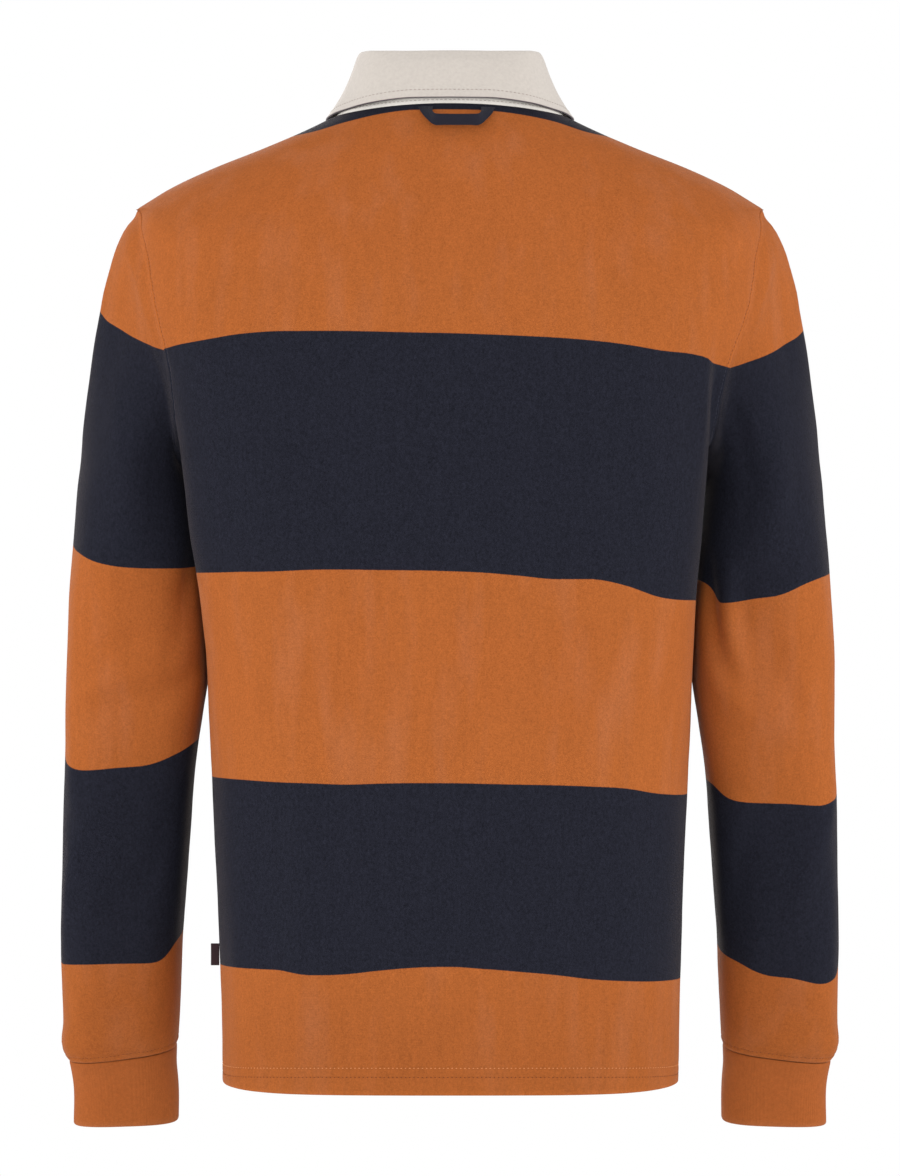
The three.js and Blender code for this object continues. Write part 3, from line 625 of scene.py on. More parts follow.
def band_share(depth: Array, band: Array) -> Array:
    """Works out how much of a band lies above a depth.

    The slope is the same on both sides of an edge between broad bands, so the edge stays even.

    Args:
        depth: The distance below the band's top.
        band: The band's height.

    Returns:
        A share from 0 to 1.
    """
    reach = np.minimum(EDGE_REACH, band / 4)
    step = np.where(band > 4 * EDGE_REACH, EDGE_REACH * EDGE_SLOPE, 0.25)
    middle = np.clip((depth - reach) / (band - 2 * reach), 0, 1) * (1 - 2 * step)
    return middle + step * (np.clip(depth / reach, 0, 1) + np.clip((depth - band) / reach + 1, 0, 1))


def band_level(bands: Table, by: str, at: Array, height: Array) -> Array:
    """Which band of colour each point lies in, rising by one at each edge on the way down.

    Args:
        bands: The heights of the edges.
        by: The column that places them, x or angle.
        at: The values of that column.
        height: The heights of the points.

    Returns:
        A level from 0 above the neck to 6 below the hem.
    """
    at, height = np.broadcast_arrays(at, height)
    edges = [np.full(height.shape, BAND_ABOVE)]
    for name in BAND_EDGES:
        known = name in bands.columns
        edges.append(bands.read(by, name, at) if known else np.full(height.shape, BAND_ABOVE - 1))
    edges.append(np.full(height.shape, BAND_BELOW))
    return sum(band_share(upper - height, upper - lower) for upper, lower in zip(edges, edges[1:]))


def fold_rise(folds: Table, across: Array, height: Array) -> Array:
    """Works out how far the soft folds lift the cloth.

    Args:
        folds: The folds.
        across: Each point's place across.
        height: Its height.

    Returns:
        The rise at each point, in millimetres.
    """
    rise = np.zeros(np.broadcast(across, height).shape)
    columns = folds.columns
    for x0, z0, x1, z1, width, lift, bow in zip(*(columns[name] for name in FOLD_COLUMNS.split())):
        length = math.hypot(x1 - x0, z1 - z0)
        ahead = ((x1 - x0) / length, (z1 - z0) / length)
        along = ((across - x0) * ahead[0] + (height - z0) * ahead[1]) / length
        share = np.clip(along, 0, 1)
        beside = (across - x0) * ahead[1] - (height - z0) * ahead[0] - bow * 4 * share * (1 - share)
        beyond = np.maximum(np.abs(along - 0.5) - 0.5, 0) * length
        taper = 0.35 + 0.65 * np.sin(math.pi * share)
        rise += lift * taper * np.exp(-((beside / width) ** 2) - (beyond / width) ** 2)
    return rise


def unevenness(points: Array) -> Array:
    """Works out the slight swell and ripple of cloth that was pressed and then worn.

    Args:
        points: The cloth's points.

    Returns:
        The rise at each point, in millimetres.
    """
    flat = points.reshape(-1, 3)
    swell = np.array([noise.noise(Vector(p)) for p in flat / SWELL_SIZE])
    ripple = np.array([noise.noise(Vector(p)) for p in flat / RIPPLE_SIZE])
    return (swell * SWELL_RISE + ripple * RIPPLE_RISE).reshape(points.shape[:-1])


def seam_drop(distance: Array) -> Array:
    """How far cloth rolls in towards a seam, by the distance from it."""
    return SEAM_DROP * np.clip(1 - distance / SEAM_REACH, 0, 1) ** 2


def stitch_groove(distance: Array, at: float, depth: float = 0.3, width: float = 0.7) -> Array:
    """How far a row of stitches pulls the cloth in, by the distance from the edge."""
    return depth * np.exp(-(((distance - at) / width) ** 2))


def round_edge(distance: Array, wall: float) -> Array:
    """How far both faces of a folded edge curve towards each other, by the distance from it."""
    near = np.clip(1 - distance / (wall / 2), 0, 1)
    return wall / 2 * EDGE_CLOSING * (1 - np.sqrt(1 - near**2))


@dataclass
class Cloth:
    """One piece of cloth as a grid of points, with what is needed to make its wall.

    Attributes:
        points: The grid before folds and seams, row by row.
        closed: Whether each row runs round to its start.
        sign: Which side of the grid is the outer one.
        wall: The thickness, one number or one for each point.
        level: The band of colour at each point.
        lift: How far the outer face stands out from the grid.
        pinch: How far the inner face comes out towards the outer one, at folded edges.
        wear_and_shade: How far the colour is rubbed at each point, from 0 to 1, or below 0 how dark the
            painted shade along a seam is.
    """

    points: Array
    closed: bool
    sign: float
    wall: Array | float = JERSEY_WALL
    level: Array | float = 0.0
    lift: Array | float = 0.0
    pinch: Array | float = 0.0
    wear_and_shade: Array | float = 0.0

    def __post_init__(self) -> None:
        """Works out the outward directions."""
        self.normals = grid_normals(self.points, self.closed, self.sign)

    @property
    def outer(self) -> Array:
        """The points of the outer face."""
        return self.points + self.normals * np.broadcast_to(self.lift, self.points.shape[:2])[..., None]

    @property
    def inner(self) -> Array:
        """The points of the inner face."""
        depth = np.broadcast_to(self.wall - np.asarray(self.pinch), self.points.shape[:2])
        return self.outer - self.normals * depth[..., None]

    def blend_edge(self, shared: Array, distance: Array, rows: slice, columns: slice) -> None:
        """Turns the directions near a seam towards those that both its pieces share.

        Args:
            shared: The directions on the seam, in the shape of the part that is turned.
            distance: The distance of each point of that part from the seam.
            rows: The rows of the part.
            columns: Its columns.
        """
        own = self.normals[rows, columns]
        weight = ease(distance, 0, SEAM_BLEND)[..., None]
        self.normals[rows, columns] = unit(shared * (1 - weight) + own * weight)

    def line(self, distance: Array, at: float, axis: int, low: int = 0, high: int | None = None) -> "Run":
        """The line that lies at a distance from an edge.

        Args:
            distance: The distance of every point of the grid from the edge.
            at: The distance of the line.
            axis: 1 where the line crosses each row once, 0 where it crosses each column once.
            low: The first row or column that it crosses.
            high: The row or column before which it ends.

        Returns:
            The line with its directions and levels.
        """
        level = np.broadcast_to(self.level, distance.shape)
        columns = np.concatenate([self.outer, self.normals, level[..., None]], axis=2)
        if axis == 0:
            columns, distance = columns.swapaxes(0, 1), distance.T
        values = []
        for k in range(low, len(columns) if high is None else high):
            order = np.argsort(distance[k])
            spot = np.interp(at, distance[k][order], order.astype(float))
            i = min(int(spot), len(order) - 2)
            t = spot - i
            values.append(columns[k, i] * (1 - t) + columns[k, i + 1] * t)
        if self.closed and axis == 0:
            values.append(values[0])
        return Run.of(np.array(values))

    def build(self, name: str) -> Piece:
        """Makes the closed wall as a mesh object, with its cloth coordinates.

        Args:
            name: The piece's name.

        Returns:
            The object.
        """
        outer, inner = self.outer, self.inner
        rows, columns = outer.shape[:2]
        spans = columns if self.closed else columns - 1
        wrapped = np.concatenate([outer, outer[:, :1]], axis=1) if self.closed else outer
        across = run_lengths(wrapped, 1)
        across -= across[:, -1:] / 2
        along = run_lengths(wrapped, 0)
        j, i = np.indices((rows - 1, spans))
        corners = [(j, i), (j, i + 1), (j + 1, i + 1), (j + 1, i)]
        faces = [[(0, a, b) for a, b in corners], [(1, a, b) for a, b in corners[::-1]]]
        b = np.arange(spans)
        for a, order in ((0, 1), (rows - 1, -1)):
            faces.append([(0, a, b), (1, a, b), (1, a, b + 1), (0, a, b + 1)][::order])
        if not self.closed:
            a = np.arange(rows - 1)
            for b, order in ((0, 1), (columns - 1, -1)):
                faces.append([(0, a, b), (0, a + 1, b), (1, a + 1, b), (1, a, b)][::order])
        flat = np.stack([across, along], axis=-1)
        index, places = [], []
        for face in faces:
            numbers = [(layer * rows + a) * columns + b % columns for layer, a, b in face]
            index.append(np.stack([number.ravel() for number in numbers], axis=1))
            places.append(np.stack([flat[a, b].reshape(-1, 2) for _, a, b in face], axis=1))
        vertices = np.concatenate([outer.reshape(-1, 3), inner.reshape(-1, 3)]) * MILLIMETRE
        piece = make_mesh(name, vertices, np.concatenate(index), np.concatenate(places) * MILLIMETRE)
        for attribute, values in (("level", self.level), ("wear_and_shade", self.wear_and_shade)):
            both = np.tile(np.broadcast_to(values, (rows, columns)).ravel(), 2)
            add_attribute(piece, attribute, both)
        return piece


@dataclass
class Run:
    """A line on a piece of cloth, with the outward direction and the level at each point."""

    points: Array
    normals: Array
    levels: Array

    @classmethod
    def of(cls, columns: Array) -> "Run":
        """The line whose points, directions and levels stand side by side in seven columns."""
        return cls(columns[:, :3], unit(columns[:, 3:6]), columns[:, 6])

    def part(self, start: float, end: float) -> "Run":
        """The stretch between two distances along the line."""
        return self.at(np.linspace(start, end, max(int((end - start) / 2), 2)))

    @property
    def along(self) -> Array:
        """The distance of each point from the line's start."""
        return run_lengths(self.points, 0)

    def at(self, places: Array) -> "Run":
        """The line's points at the given distances along it."""
        along, columns = self.along, (*self.points.T, *self.normals.T, self.levels)
        return Run.of(np.stack([np.interp(places, along, column) for column in columns], axis=-1))


def make_mesh(name: str, vertices: Array, faces: NDArray[np.int64], loop_map: Array | None) -> Piece:
    """Makes a smooth mesh object whose faces point outwards.

    Args:
        name: The object's name.
        vertices: The corners, in metres.
        faces: Four corner numbers for each face.
        loop_map: The cloth coordinates of each face's corners, or None.

    Returns:
        The object.
    """
    a, b, c, d = (vertices[faces[:, k]] for k in range(4))
    volume = np.einsum("ij,ij->i", a, np.cross(b, c)) + np.einsum("ij,ij->i", a, np.cross(c, d))
    if volume.sum() < 0:
        faces = faces[:, ::-1]
        loop_map = None if loop_map is None else loop_map[:, ::-1]
    mesh = bpy.data.meshes.new(name)
    mesh.from_pydata(vertices.tolist(), [], faces.tolist())
    if loop_map is not None:
        layer = mesh.uv_layers.new(name="cloth")
        layer.data.foreach_set("uv", loop_map.astype(np.float32).ravel())
    mesh.polygons.foreach_set("use_smooth", np.ones(len(faces), bool))
    mesh.validate()
    mesh.update()
    piece = bpy.data.objects.new(name, mesh)
    bpy.context.scene.collection.objects.link(piece)
    return piece


def add_attribute(piece: Piece, name: str, values: Array) -> None:
    """Gives each corner of a piece a number that its finish reads."""
    layer = piece.data.attributes.new(name, "FLOAT", "POINT")
    layer.data.foreach_set("value", values.astype(np.float32))


@dataclass
class Panel:
    """The back or the front of the trunk.

    Attributes:
        face: Which half it is.
        cloth: Its grid, from the hem up and from the wearer's right to the left.
        side_distance: The distance of each point from the side edge of its half.
        neck_distance: The distance of each point from the neck seam.
        hem_distance: The distance of each point from the hem, as the cloth was folded.
        rises: How far up the armhole each row ends, below 0 under it and above 1 over it.
    """

    face: Face
    cloth: Cloth
    side_distance: Array
    neck_distance: Array
    hem_distance: Array
    rises: Array

    HEM_CURVE = 3.8
    HEM_DIP = 2.4
    HEM_HALF = 166.0

    @property
    def armhole(self) -> slice:
        """The rows that end in the armhole, with its two ends."""
        inside = np.flatnonzero((self.rises >= 0) & (self.rises <= 1))
        return slice(int(inside[0]), int(inside[-1]) + 1)

    @staticmethod
    def edge_column(hand: Hand) -> int:
        """The column that is sewn on one side."""
        return -1 if hand is Hand.LEFT else 0

    @classmethod
    def cut(cls, face: Face) -> "Panel":
        """Makes the panel's grid on the trunk's form.

        Args:
            face: Which half to make.

        Returns:
            The panel, without folds or seams.
        """
        middle, side, turn, rises = cls._rows(face)
        start = 0.0 if face is Face.BACK else 180.0
        t = np.linspace(0, 1, DENSE_STEPS + 1)
        level = middle[:, None] + (side - middle)[:, None] * t**2
        swing = start + (turn - start)[:, None] * t
        halves, distances = [], []
        for hand in (Hand.RIGHT, Hand.LEFT):
            curves = trunk_point(level, hand.value * swing)
            along = run_lengths(curves, 1)
            total = along[:, -1:]
            inner = np.linspace(0, 1, HALF_COLUMNS + 1) * (total - SEAM_COLUMNS[0] - 2)
            targets = np.concatenate([inner, total - np.array(SEAM_COLUMNS)], axis=1)
            rows = zip(targets, along, curves)
            half = [[np.interp(target, length, part) for part in curve.T] for target, length, curve in rows]
            halves.append(np.array(half).swapaxes(1, 2))
            distances.append(total - targets)
        points = np.concatenate([halves[0][:, :0:-1], halves[1]], axis=1)
        height = run_lengths(points, 0)
        corner = np.abs(points[..., 0]) / cls.HEM_HALF
        folded = ease(height, 0, 12)
        points[..., 2] += cls.HEM_CURVE * corner**6 * (1 - folded)
        points[..., 2] -= cls.HEM_DIP * corner**4 * folded * (1 - ease(height, 22, 70))
        side_distance = np.concatenate([distances[0][:, :0:-1], distances[1]], axis=1)
        along = run_lengths(points, 0)
        cloth = Cloth(points, False, face.value)
        return cls(face, cloth, side_distance, along[-1] - along, height, rises)

    @staticmethod
    def _rows(face: Face) -> tuple[Array, Array, Array, Array]:
        """Works out where the rows of a panel lie.

        Args:
            face: Which half it is.

        Returns:
            Each row's level in the middle and at its end, the turn of its end, and its rise.
        """
        edge = HEM_HEIGHT + np.array((0, *HEM_ROWS))
        steps = int((UNDERARM_HEIGHT - edge[-1]) / TORSO_STEP)
        straight = np.concatenate([edge, np.linspace(edge[-1], UNDERARM_HEIGHT, steps + 1)[1:-1]])
        even = np.linspace(0, 1, ARMHOLE_STEPS + 1)
        rise = even + ARMHOLE_WIDENING * (even - (1 - np.cos(math.pi * even)) / 2)
        climb = (1 - np.cos(math.pi * rise)) / 2
        hole_side = UNDERARM_HEIGHT + (TIP_HEIGHT - UNDERARM_HEIGHT) * climb
        hole_middle = UNDERARM_HEIGHT + (TIP_HEIGHT - UNDERARM_HEIGHT) * even
        hole_turn = 90 + ARMHOLE_SWING[face] * np.sin(math.pi * rise)
        shoulder = np.concatenate([np.linspace(TIP_HEIGHT, NECK_ROWS[0], SHOULDER_STEPS)[1:], NECK_ROWS[1:]])
        middle = np.concatenate([straight, hole_middle, shoulder])
        side = np.concatenate([straight, hole_side, shoulder])
        turn = np.concatenate([np.full(len(straight), 90.0), hole_turn, np.full(len(shoulder), 90.0)])
        rises = np.concatenate([np.full(len(straight), -1.0), rise, np.full(len(shoulder), 2.0)])
        return middle, side, turn, rises

    def finish(self) -> None:
        """Gives the panel its bands, folds, seams, hem, rubbed edges and painted shade along its seams."""
        cloth = self.cloth
        x, z = cloth.points[..., 0], cloth.points[..., 2]
        is_back = self.face is Face.BACK
        cloth.level = band_level(BACK_BANDS if is_back else FRONT_BANDS, "x", x, z)
        hem, edge = self.hem_distance, run_lengths(cloth.points, 0)
        side, neck = self.side_distance, self.neck_distance
        away = ease(side, 2, 12) * ease(neck, 4, 40)
        folds = TRUNK_FOLDS * fold_rise(BACK_FOLDS if is_back else FRONT_FOLDS, x, z)
        at_armhole = ease(self.rises, 0, 0.06) * (1 - ease(self.rises, 0.97, 1))
        at_shoulder = (self.rises > 1) * is_back
        stitched = np.maximum(at_armhole, at_shoulder)[:, None]
        allowance = 0.4 * (1 - ease(side, TOPSTITCH - 0.8, TOPSTITCH)) * stitched
        pucker = 0.25 * np.sin(hem / 2.3 + 2 * np.sin(hem / 7.1)) * np.exp(-((side - TOPSTITCH) / 4) ** 2)
        lift = folds * away + unevenness(cloth.points) * ease(side, 0, 12)
        lift = lift - seam_drop(side) - seam_drop(neck) - round_edge(edge, HEM_WALL)
        lift = lift + allowance - stitch_groove(side, TOPSTITCH) * stitched + pucker * at_armhole[:, None]
        for height in HEM_STITCHES:
            lift = lift - stitch_groove(hem, height, 0.28)
        near_stitches = np.exp(-((hem - HEM_STITCHES[0]) / 9) ** 2)
        lift = lift + 0.1 * np.sin(x / 2.9 + 1.7 * np.sin(x / 9.3)) * near_stitches
        cloth.lift = lift
        cloth.wall = HEM_WALL - (HEM_WALL - JERSEY_WALL) * ease(hem, HEM_STITCHES[1], HEM_STITCHES[1] + 1.5)
        cloth.pinch = round_edge(edge, HEM_WALL)
        # Rubbed wear lightens the colour near the seams and hem; the seam shade is painted shade that darkens
        # the seam line itself
        seam_wear = np.exp(-(((side - 2) / 1.2) ** 2)) * stitched
        seam_shade = (1 - ease(side, 0.3, 1.1)) * stitched
        hem_wear = np.exp(-((hem / 2.2) ** 2))
        cloth.wear_and_shade = seam_wear * SEAM_WEAR + hem_wear * HEM_WEAR - seam_shade * TRUNK_SEAM_SHADE


@dataclass
class Sleeve:
    """A sleeve from its armhole to the cuff seam.

    Attributes:
        hand: The side that it is on.
        cloth: Its grid, one ring for each row.
        shared: The seam directions at the armhole, which the panels share.
    """

    hand: Hand
    cloth: Cloth
    shared: Array

    CUFF_ROWS = (9, 7.6, 6.6, 6.1, 5.8, 5.6, 5.4, 5.1, 4.6, 3.8, 2.8, 1.8, 1, 0.4, 0)
    CAP_ROWS = (0, 0.0022, 0.006, 0.011, 0.018, 0.028)

    @classmethod
    def cut(cls, back: Panel, front: Panel, hand: Hand) -> "Sleeve":
        """Makes the sleeve's grid from the armhole of the two panels.

        Args:
            back: The back panel.
            front: The front panel.
            hand: The side to make.

        Returns:
            The sleeve, without folds or seams.
        """
        loop = armhole_loop(back, front, hand)
        columns = len(loop.points)
        angle = np.arange(columns) / columns * 360
        top = SLEEVE.columns["height"][0]
        end = ring_point(SLEEVE, np.full(columns, top), angle, hand)
        heading = unit(ring_point(SLEEVE, np.full(columns, top - 1), angle, hand) - end)
        weight = ease(loop.levels, 0, UNDERARM_SHARE)[:, None]
        under = np.array(UNDERARM_DIRECTION) * (hand.value, 1, 1)
        down = np.array((0, 0, -1.0))
        start = unit(loop.normals * weight + under * (1 - weight) + down * CAP_DROOP * weight)
        reach = np.linalg.norm(end - loop.points, axis=1)[:, None]
        start, heading = start * reach * CAP_START, heading * reach * CAP_END
        steps = np.concatenate([cls.CAP_ROWS, np.linspace(0.04, 1, 34, endpoint=False)])
        t = steps[:, None, None]
        cap = (2 * t**3 - 3 * t**2 + 1) * loop.points + (t**3 - 2 * t**2 + t) * start
        cap = cap + (3 * t**2 - 2 * t**3) * end + (t**3 - t**2) * heading
        bottom = SLEEVE.columns["height"][-1]
        even = np.arange(top, bottom + cls.CUFF_ROWS[0] + 2, -4)
        heights = np.concatenate([even, bottom + np.array(cls.CUFF_ROWS)])
        rings = ring_point(SLEEVE, heights[:, None], angle[None, :], hand)
        points = np.concatenate([cap, rings])
        points[..., 0] += spread(points, angle, hand) * ease(run_lengths(points, 0), 0, 14)
        cloth = Cloth(points, True, hand.value)
        column = Panel.edge_column(hand)
        of_back = back.cloth.normals[back.armhole, column]
        of_front = front.cloth.normals[front.armhole, column][-2:0:-1]
        panels = np.concatenate([of_back, of_front])
        shared = settle(unit(panels + cloth.normals[0]), 3, True)
        return cls(hand, cloth, shared)

    def sew(self, panel: Panel) -> None:
        """Turns the edge of a panel towards the sleeve.

        Args:
            panel: The back or front panel.
        """
        rows, column = panel.armhole, Panel.edge_column(self.hand)
        steps = len(self.shared) // 2
        if panel.face is Face.BACK:
            shared = self.shared[: steps + 1]
        else:
            shared = np.concatenate([self.shared[:1], self.shared[:steps - 1:-1]])
        reach = len(SEAM_COLUMNS)
        columns = slice(-reach, None) if column else slice(0, reach)
        distance = panel.side_distance[rows, columns]
        panel.cloth.blend_edge(shared[:, None], distance, rows, columns)

    def finish(self) -> None:
        """Gives the sleeve its bands, folds and seams."""
        cloth = self.cloth
        rows, columns = cloth.points.shape[:2]
        z = cloth.points[..., 2]
        angle = np.broadcast_to(np.arange(columns) / columns * 360, (rows, columns))
        is_left = self.hand is Hand.LEFT
        cloth.level = band_level(LEFT_BANDS if is_left else RIGHT_BANDS, "angle", angle, z)
        cap, wrist = self.cap_distance, self.cuff_distance
        around = (angle - 180) * DEGREES * SLEEVE_RADIUS
        folds = SLEEVE_FOLDS * fold_rise(LEFT_SLEEVE_FOLDS if is_left else RIGHT_SLEEVE_FOLDS, around, z)
        lift = folds * ease(cap, 4, 30) * ease(wrist, 3, 18) + unevenness(cloth.points) * ease(cap, 0, 12)
        lift = lift - seam_drop(cap) - seam_drop(wrist) * 0.8 - stitch_groove(wrist, CUFF_STITCH)
        pucker = np.sin(around / 2.4 + 2 * np.sin(around / 8.7)) * np.exp(-((wrist - CUFF_STITCH) / 4) ** 2)
        cloth.lift = lift + CUFF_PUCKER * pucker + 0.25 * (1 - ease(wrist, CUFF_STITCH - 1, CUFF_STITCH))
        seams = np.minimum(wrist, cap)
        # Rubbed wear lightens the colour near both seams; the shaded part is painted shade that darkens the
        # seam lines
        rubbed, shaded = np.exp(-(((seams - 2) / 1.3) ** 2)), 1 - ease(seams, 0.3, 1)
        cloth.wear_and_shade = rubbed * SEAM_WEAR - shaded * SLEEVE_SEAM_SHADE
        cloth.blend_edge(self.shared[None, :], cap[:8], slice(0, 8), slice(None))

    @property
    def cap_distance(self) -> Array:
        """The distance of each point from the armhole."""
        return run_lengths(self.cloth.points, 0)

    @property
    def cuff_distance(self) -> Array:
        """The distance of each point from the cuff seam."""
        along = run_lengths(self.cloth.points, 0)
        return along[-1] - along


def armhole_loop(back: Panel, front: Panel, hand: Hand) -> Run:
    """The armhole once round, from under the arm up the back and down the front.

    Args:
        back: The back panel.
        front: The front panel.
        hand: The side of the body.

    Returns:
        Its points, the directions in which the sleeve leaves the panels, and how far up each lies.
    """
    column = Panel.edge_column(hand)
    near = column - 5 * hand.value

    def trail(panel: Panel) -> tuple[Array, Array, Array]:
        rows = panel.armhole
        points = panel.cloth.points[rows, column]
        away = unit(np.cross(np.gradient(points, axis=0), panel.cloth.normals[rows, column]))
        inwards = panel.cloth.points[rows, near] - points
        turned = np.sum(away * inwards, axis=1, keepdims=True) > 0
        return points, np.where(turned, -away, away), panel.rises[rows]

    up, down = trail(back), trail(front)
    points, away, rises = (np.concatenate([a, b[-2:0:-1]]) for a, b in zip(up, down))
    return Run(points, settle(away, 6, True), rises)


@dataclass
class Cuff:
    """A ribbed cuff below its sleeve.

    The rise of a rib is measured from the middle of the knit.
    """

    hand: Hand
    ribs: int = 104
    rib_rise: float = 0.055

    COLUMNS_PER_RIB = 5
    TOP_ROWS = (0, 0.3, 0.8, 1.5, 2.4, 3.5)
    FOLD_ROWS = (1.6, 1.1, 0.75, 0.4, 0.15, 0)

    def cut(self) -> Cloth:
        """Makes the cuff with its seam at the top and a folded lower edge.

        Returns:
            The finished cloth.
        """
        columns = self.ribs * self.COLUMNS_PER_RIB
        angle = np.arange(columns) / columns * 360
        top, bottom = -687.1, CUFF.columns["height"][-1]
        middle = np.linspace(top - self.TOP_ROWS[-1], bottom + self.FOLD_ROWS[0], 14)[1:-1]
        heights = np.concatenate([top - np.array(self.TOP_ROWS), middle, bottom + np.array(self.FOLD_ROWS)])
        points = ring_point(CUFF, heights[:, None], angle[None, :], self.hand)
        points[..., 0] += spread(points, angle, self.hand)
        cloth = Cloth(points, True, self.hand.value, wall=RIB_WALL)
        seam, fold = (top - heights)[:, None], (heights - bottom)[:, None]
        ribs = self.rib_rise * np.cos(np.arange(columns) / self.COLUMNS_PER_RIB * 2 * math.pi)
        ribs = ribs * ease(seam, 0.5, 3) * ease(fold, 0, 1.2)
        slack = 0.35 * np.sin(angle * DEGREES * 3 + heights[:, None] / 9) * ease(seam, 2, 16)
        edge = round_edge(fold, RIB_WALL)
        cloth.lift = ribs + slack + unevenness(points) * 0.7 - seam_drop(seam) * 0.8 - edge
        cloth.pinch = edge
        cloth.wear_and_shade = 0.35 * np.exp(-((fold / 2.5) ** 2))
        return cloth


@dataclass
class Collar:
    """The collar's stand and its outer leaf, worked out at turns round the neck."""

    step: float = 1.5

    END_TURNS = (180, 179.93, 179.8, 179.6, 179.3, 178.8, 178, 177, 176)
    STAND_ROWS = (
        *(0, 0.008, 0.02, 0.04, 0.062, 0.09, 0.13, 0.18, 0.26),
        *(0.36, 0.48, 0.6, 0.72, 0.84, 0.92, 0.97, 0.99, 1),
    )
    EDGE_STEPS = (0.42, 0.36, 0.31, 0.26, 0.21, 0.16, 0.11, 0.07, 0.045, 0.025, 0.012, 0.004, 0)
    STAND_GAP = 2.0
    END_GAP = 1.2

    def __post_init__(self) -> None:
        """Works out the seam, the roll line and the outer edge at each turn."""
        last = self.END_TURNS[-1]
        middle = np.linspace(last, -last, int(2 * last / self.step) + 1)[1:-1]
        turn = np.concatenate([self.END_TURNS, middle, -np.array(self.END_TURNS[::-1])])
        sign = np.where(turn >= 0, 1, -1)
        at = COLLAR.reader("turn", np.abs(turn))
        self.base = trunk_point(NECK_HEIGHT, turn)
        self.base[[0, -1], 0] = self.END_GAP, -self.END_GAP
        self.fold = vectors(sign * at("fold_x"), at("fold_y"), at("fold_z"))
        self.edge = vectors(sign * at("edge_x"), at("edge_y"), at("edge_z"))
        self.fullness = 1 - 1.9 * ease(np.abs(turn), 15, 90)
        along = unit(np.gradient(self.fold, axis=0))
        self.rise = self._square(self.fold - self.base, along)
        self.away = self._square(self.edge - self.fold, along, self.rise)

    @staticmethod
    def _square(directions: Array, *others: Array) -> Array:
        """Turns directions square to others.

        Args:
            directions: The directions that are turned.
            others: Unit vectors that they become square to, in order.

        Returns:
            The unit vectors.
        """
        for other in others:
            directions = directions - other * np.sum(directions * other, axis=1, keepdims=True)
        return unit(directions)

    def stand(self) -> Cloth:
        """Makes the stand, from the neck seam to just under the roll.

        Returns:
            The finished cloth.
        """
        top = self.fold - self.rise * self.STAND_GAP
        t = np.array(self.STAND_ROWS)[:, None, None]
        points = self.base + (top - self.base) * t - self.away * np.sin(math.pi * t)
        cloth = Cloth(points, False, 1, wall=TWILL_WALL)
        seam = run_lengths(points, 0)
        upper = seam[-1] - seam
        ends = self._end_distance(points)
        edge = round_edge(np.minimum(upper, ends), TWILL_WALL)
        groove = stitch_groove(seam, FOOT_STITCH, 0.15)
        cloth.lift = unevenness(points) * 0.4 - seam_drop(seam) * 0.6 - edge - groove
        cloth.pinch = edge
        return cloth

    def fall(self) -> Cloth:
        """Makes the outer leaf, over the roll and down to its edge.

        Returns:
            The finished cloth.
        """
        roll, middle = np.linspace(0, 3, 16), np.linspace(3, 6.55, 22)[1:]
        steps = np.concatenate([roll, middle, 7 - np.array(self.EDGE_STEPS)])
        at = FALL_SECTION.reader("step", steps[:, None, None])
        points = self.fold + self.away * at("out") + self.rise * at("up")
        points = points + (self.edge - points) * at("along")
        points = points + (self.away + self.rise) * at("bow") * self.fullness[:, None]
        cloth = Cloth(points, False, -1, wall=TWILL_WALL)
        lower, ends = self.lower_distance(points), self._end_distance(points)
        rim = np.minimum(lower, ends)
        start = run_lengths(points, 0)
        edge = round_edge(np.minimum(rim, start), TWILL_WALL)
        swell = unevenness(points) * 0.9 * ease(start, 2, 14)
        groove = stitch_groove(rim, COLLAR_STITCH, 0.22, 0.8)
        cloth.lift = swell - edge - groove + 0.15 * (1 - ease(rim, 4.6, 5.4))
        cloth.pinch = edge
        # The dark rim is an edging that also paints the shade of the gap under the leaf
        cloth.level = 1 - ease(lower, 0.05, 0.45)
        return cloth

    @staticmethod
    def lower_distance(points: Array) -> Array:
        """The distance of each point of the outer leaf from its lower edge."""
        along = run_lengths(points, 0)
        return along[-1] - along

    @staticmethod
    def _end_distance(points: Array) -> Array:
        """The distance of each point from the nearer front end."""
        along = run_lengths(points, 1)
        return np.minimum(along, along[:, -1:] - along)


def sew_neck(panels: Sequence[Panel], stand: Cloth) -> None:
    """Turns the edges of the panels and of the collar's stand towards each other.

    Args:
        panels: The back and front panels.
        stand: The stand, whose lowest row is on the seam.
    """
    rims = np.concatenate([panel.cloth.points[-1] for panel in panels])
    rim_normals = np.concatenate([panel.cloth.normals[-1] for panel in panels])
    foot, foot_normals = stand.points[0].copy(), stand.normals[0].copy()
    near = np.linalg.norm(rims[:, None] - foot[None], axis=2)
    shared = unit(rim_normals + foot_normals[near.argmin(axis=1)])
    start = 0
    for panel in panels:
        width = panel.cloth.points.shape[1]
        part = shared[start:start + width][None, :]
        panel.cloth.blend_edge(part, panel.neck_distance[-7:], slice(-7, None), slice(None))
        start += width
    at_foot = settle(unit(foot_normals + rim_normals[near.argmin(axis=0)]), 2, False)
    stand.blend_edge(at_foot[None, :], run_lengths(stand.points, 0)[:6], slice(0, 6), slice(None))


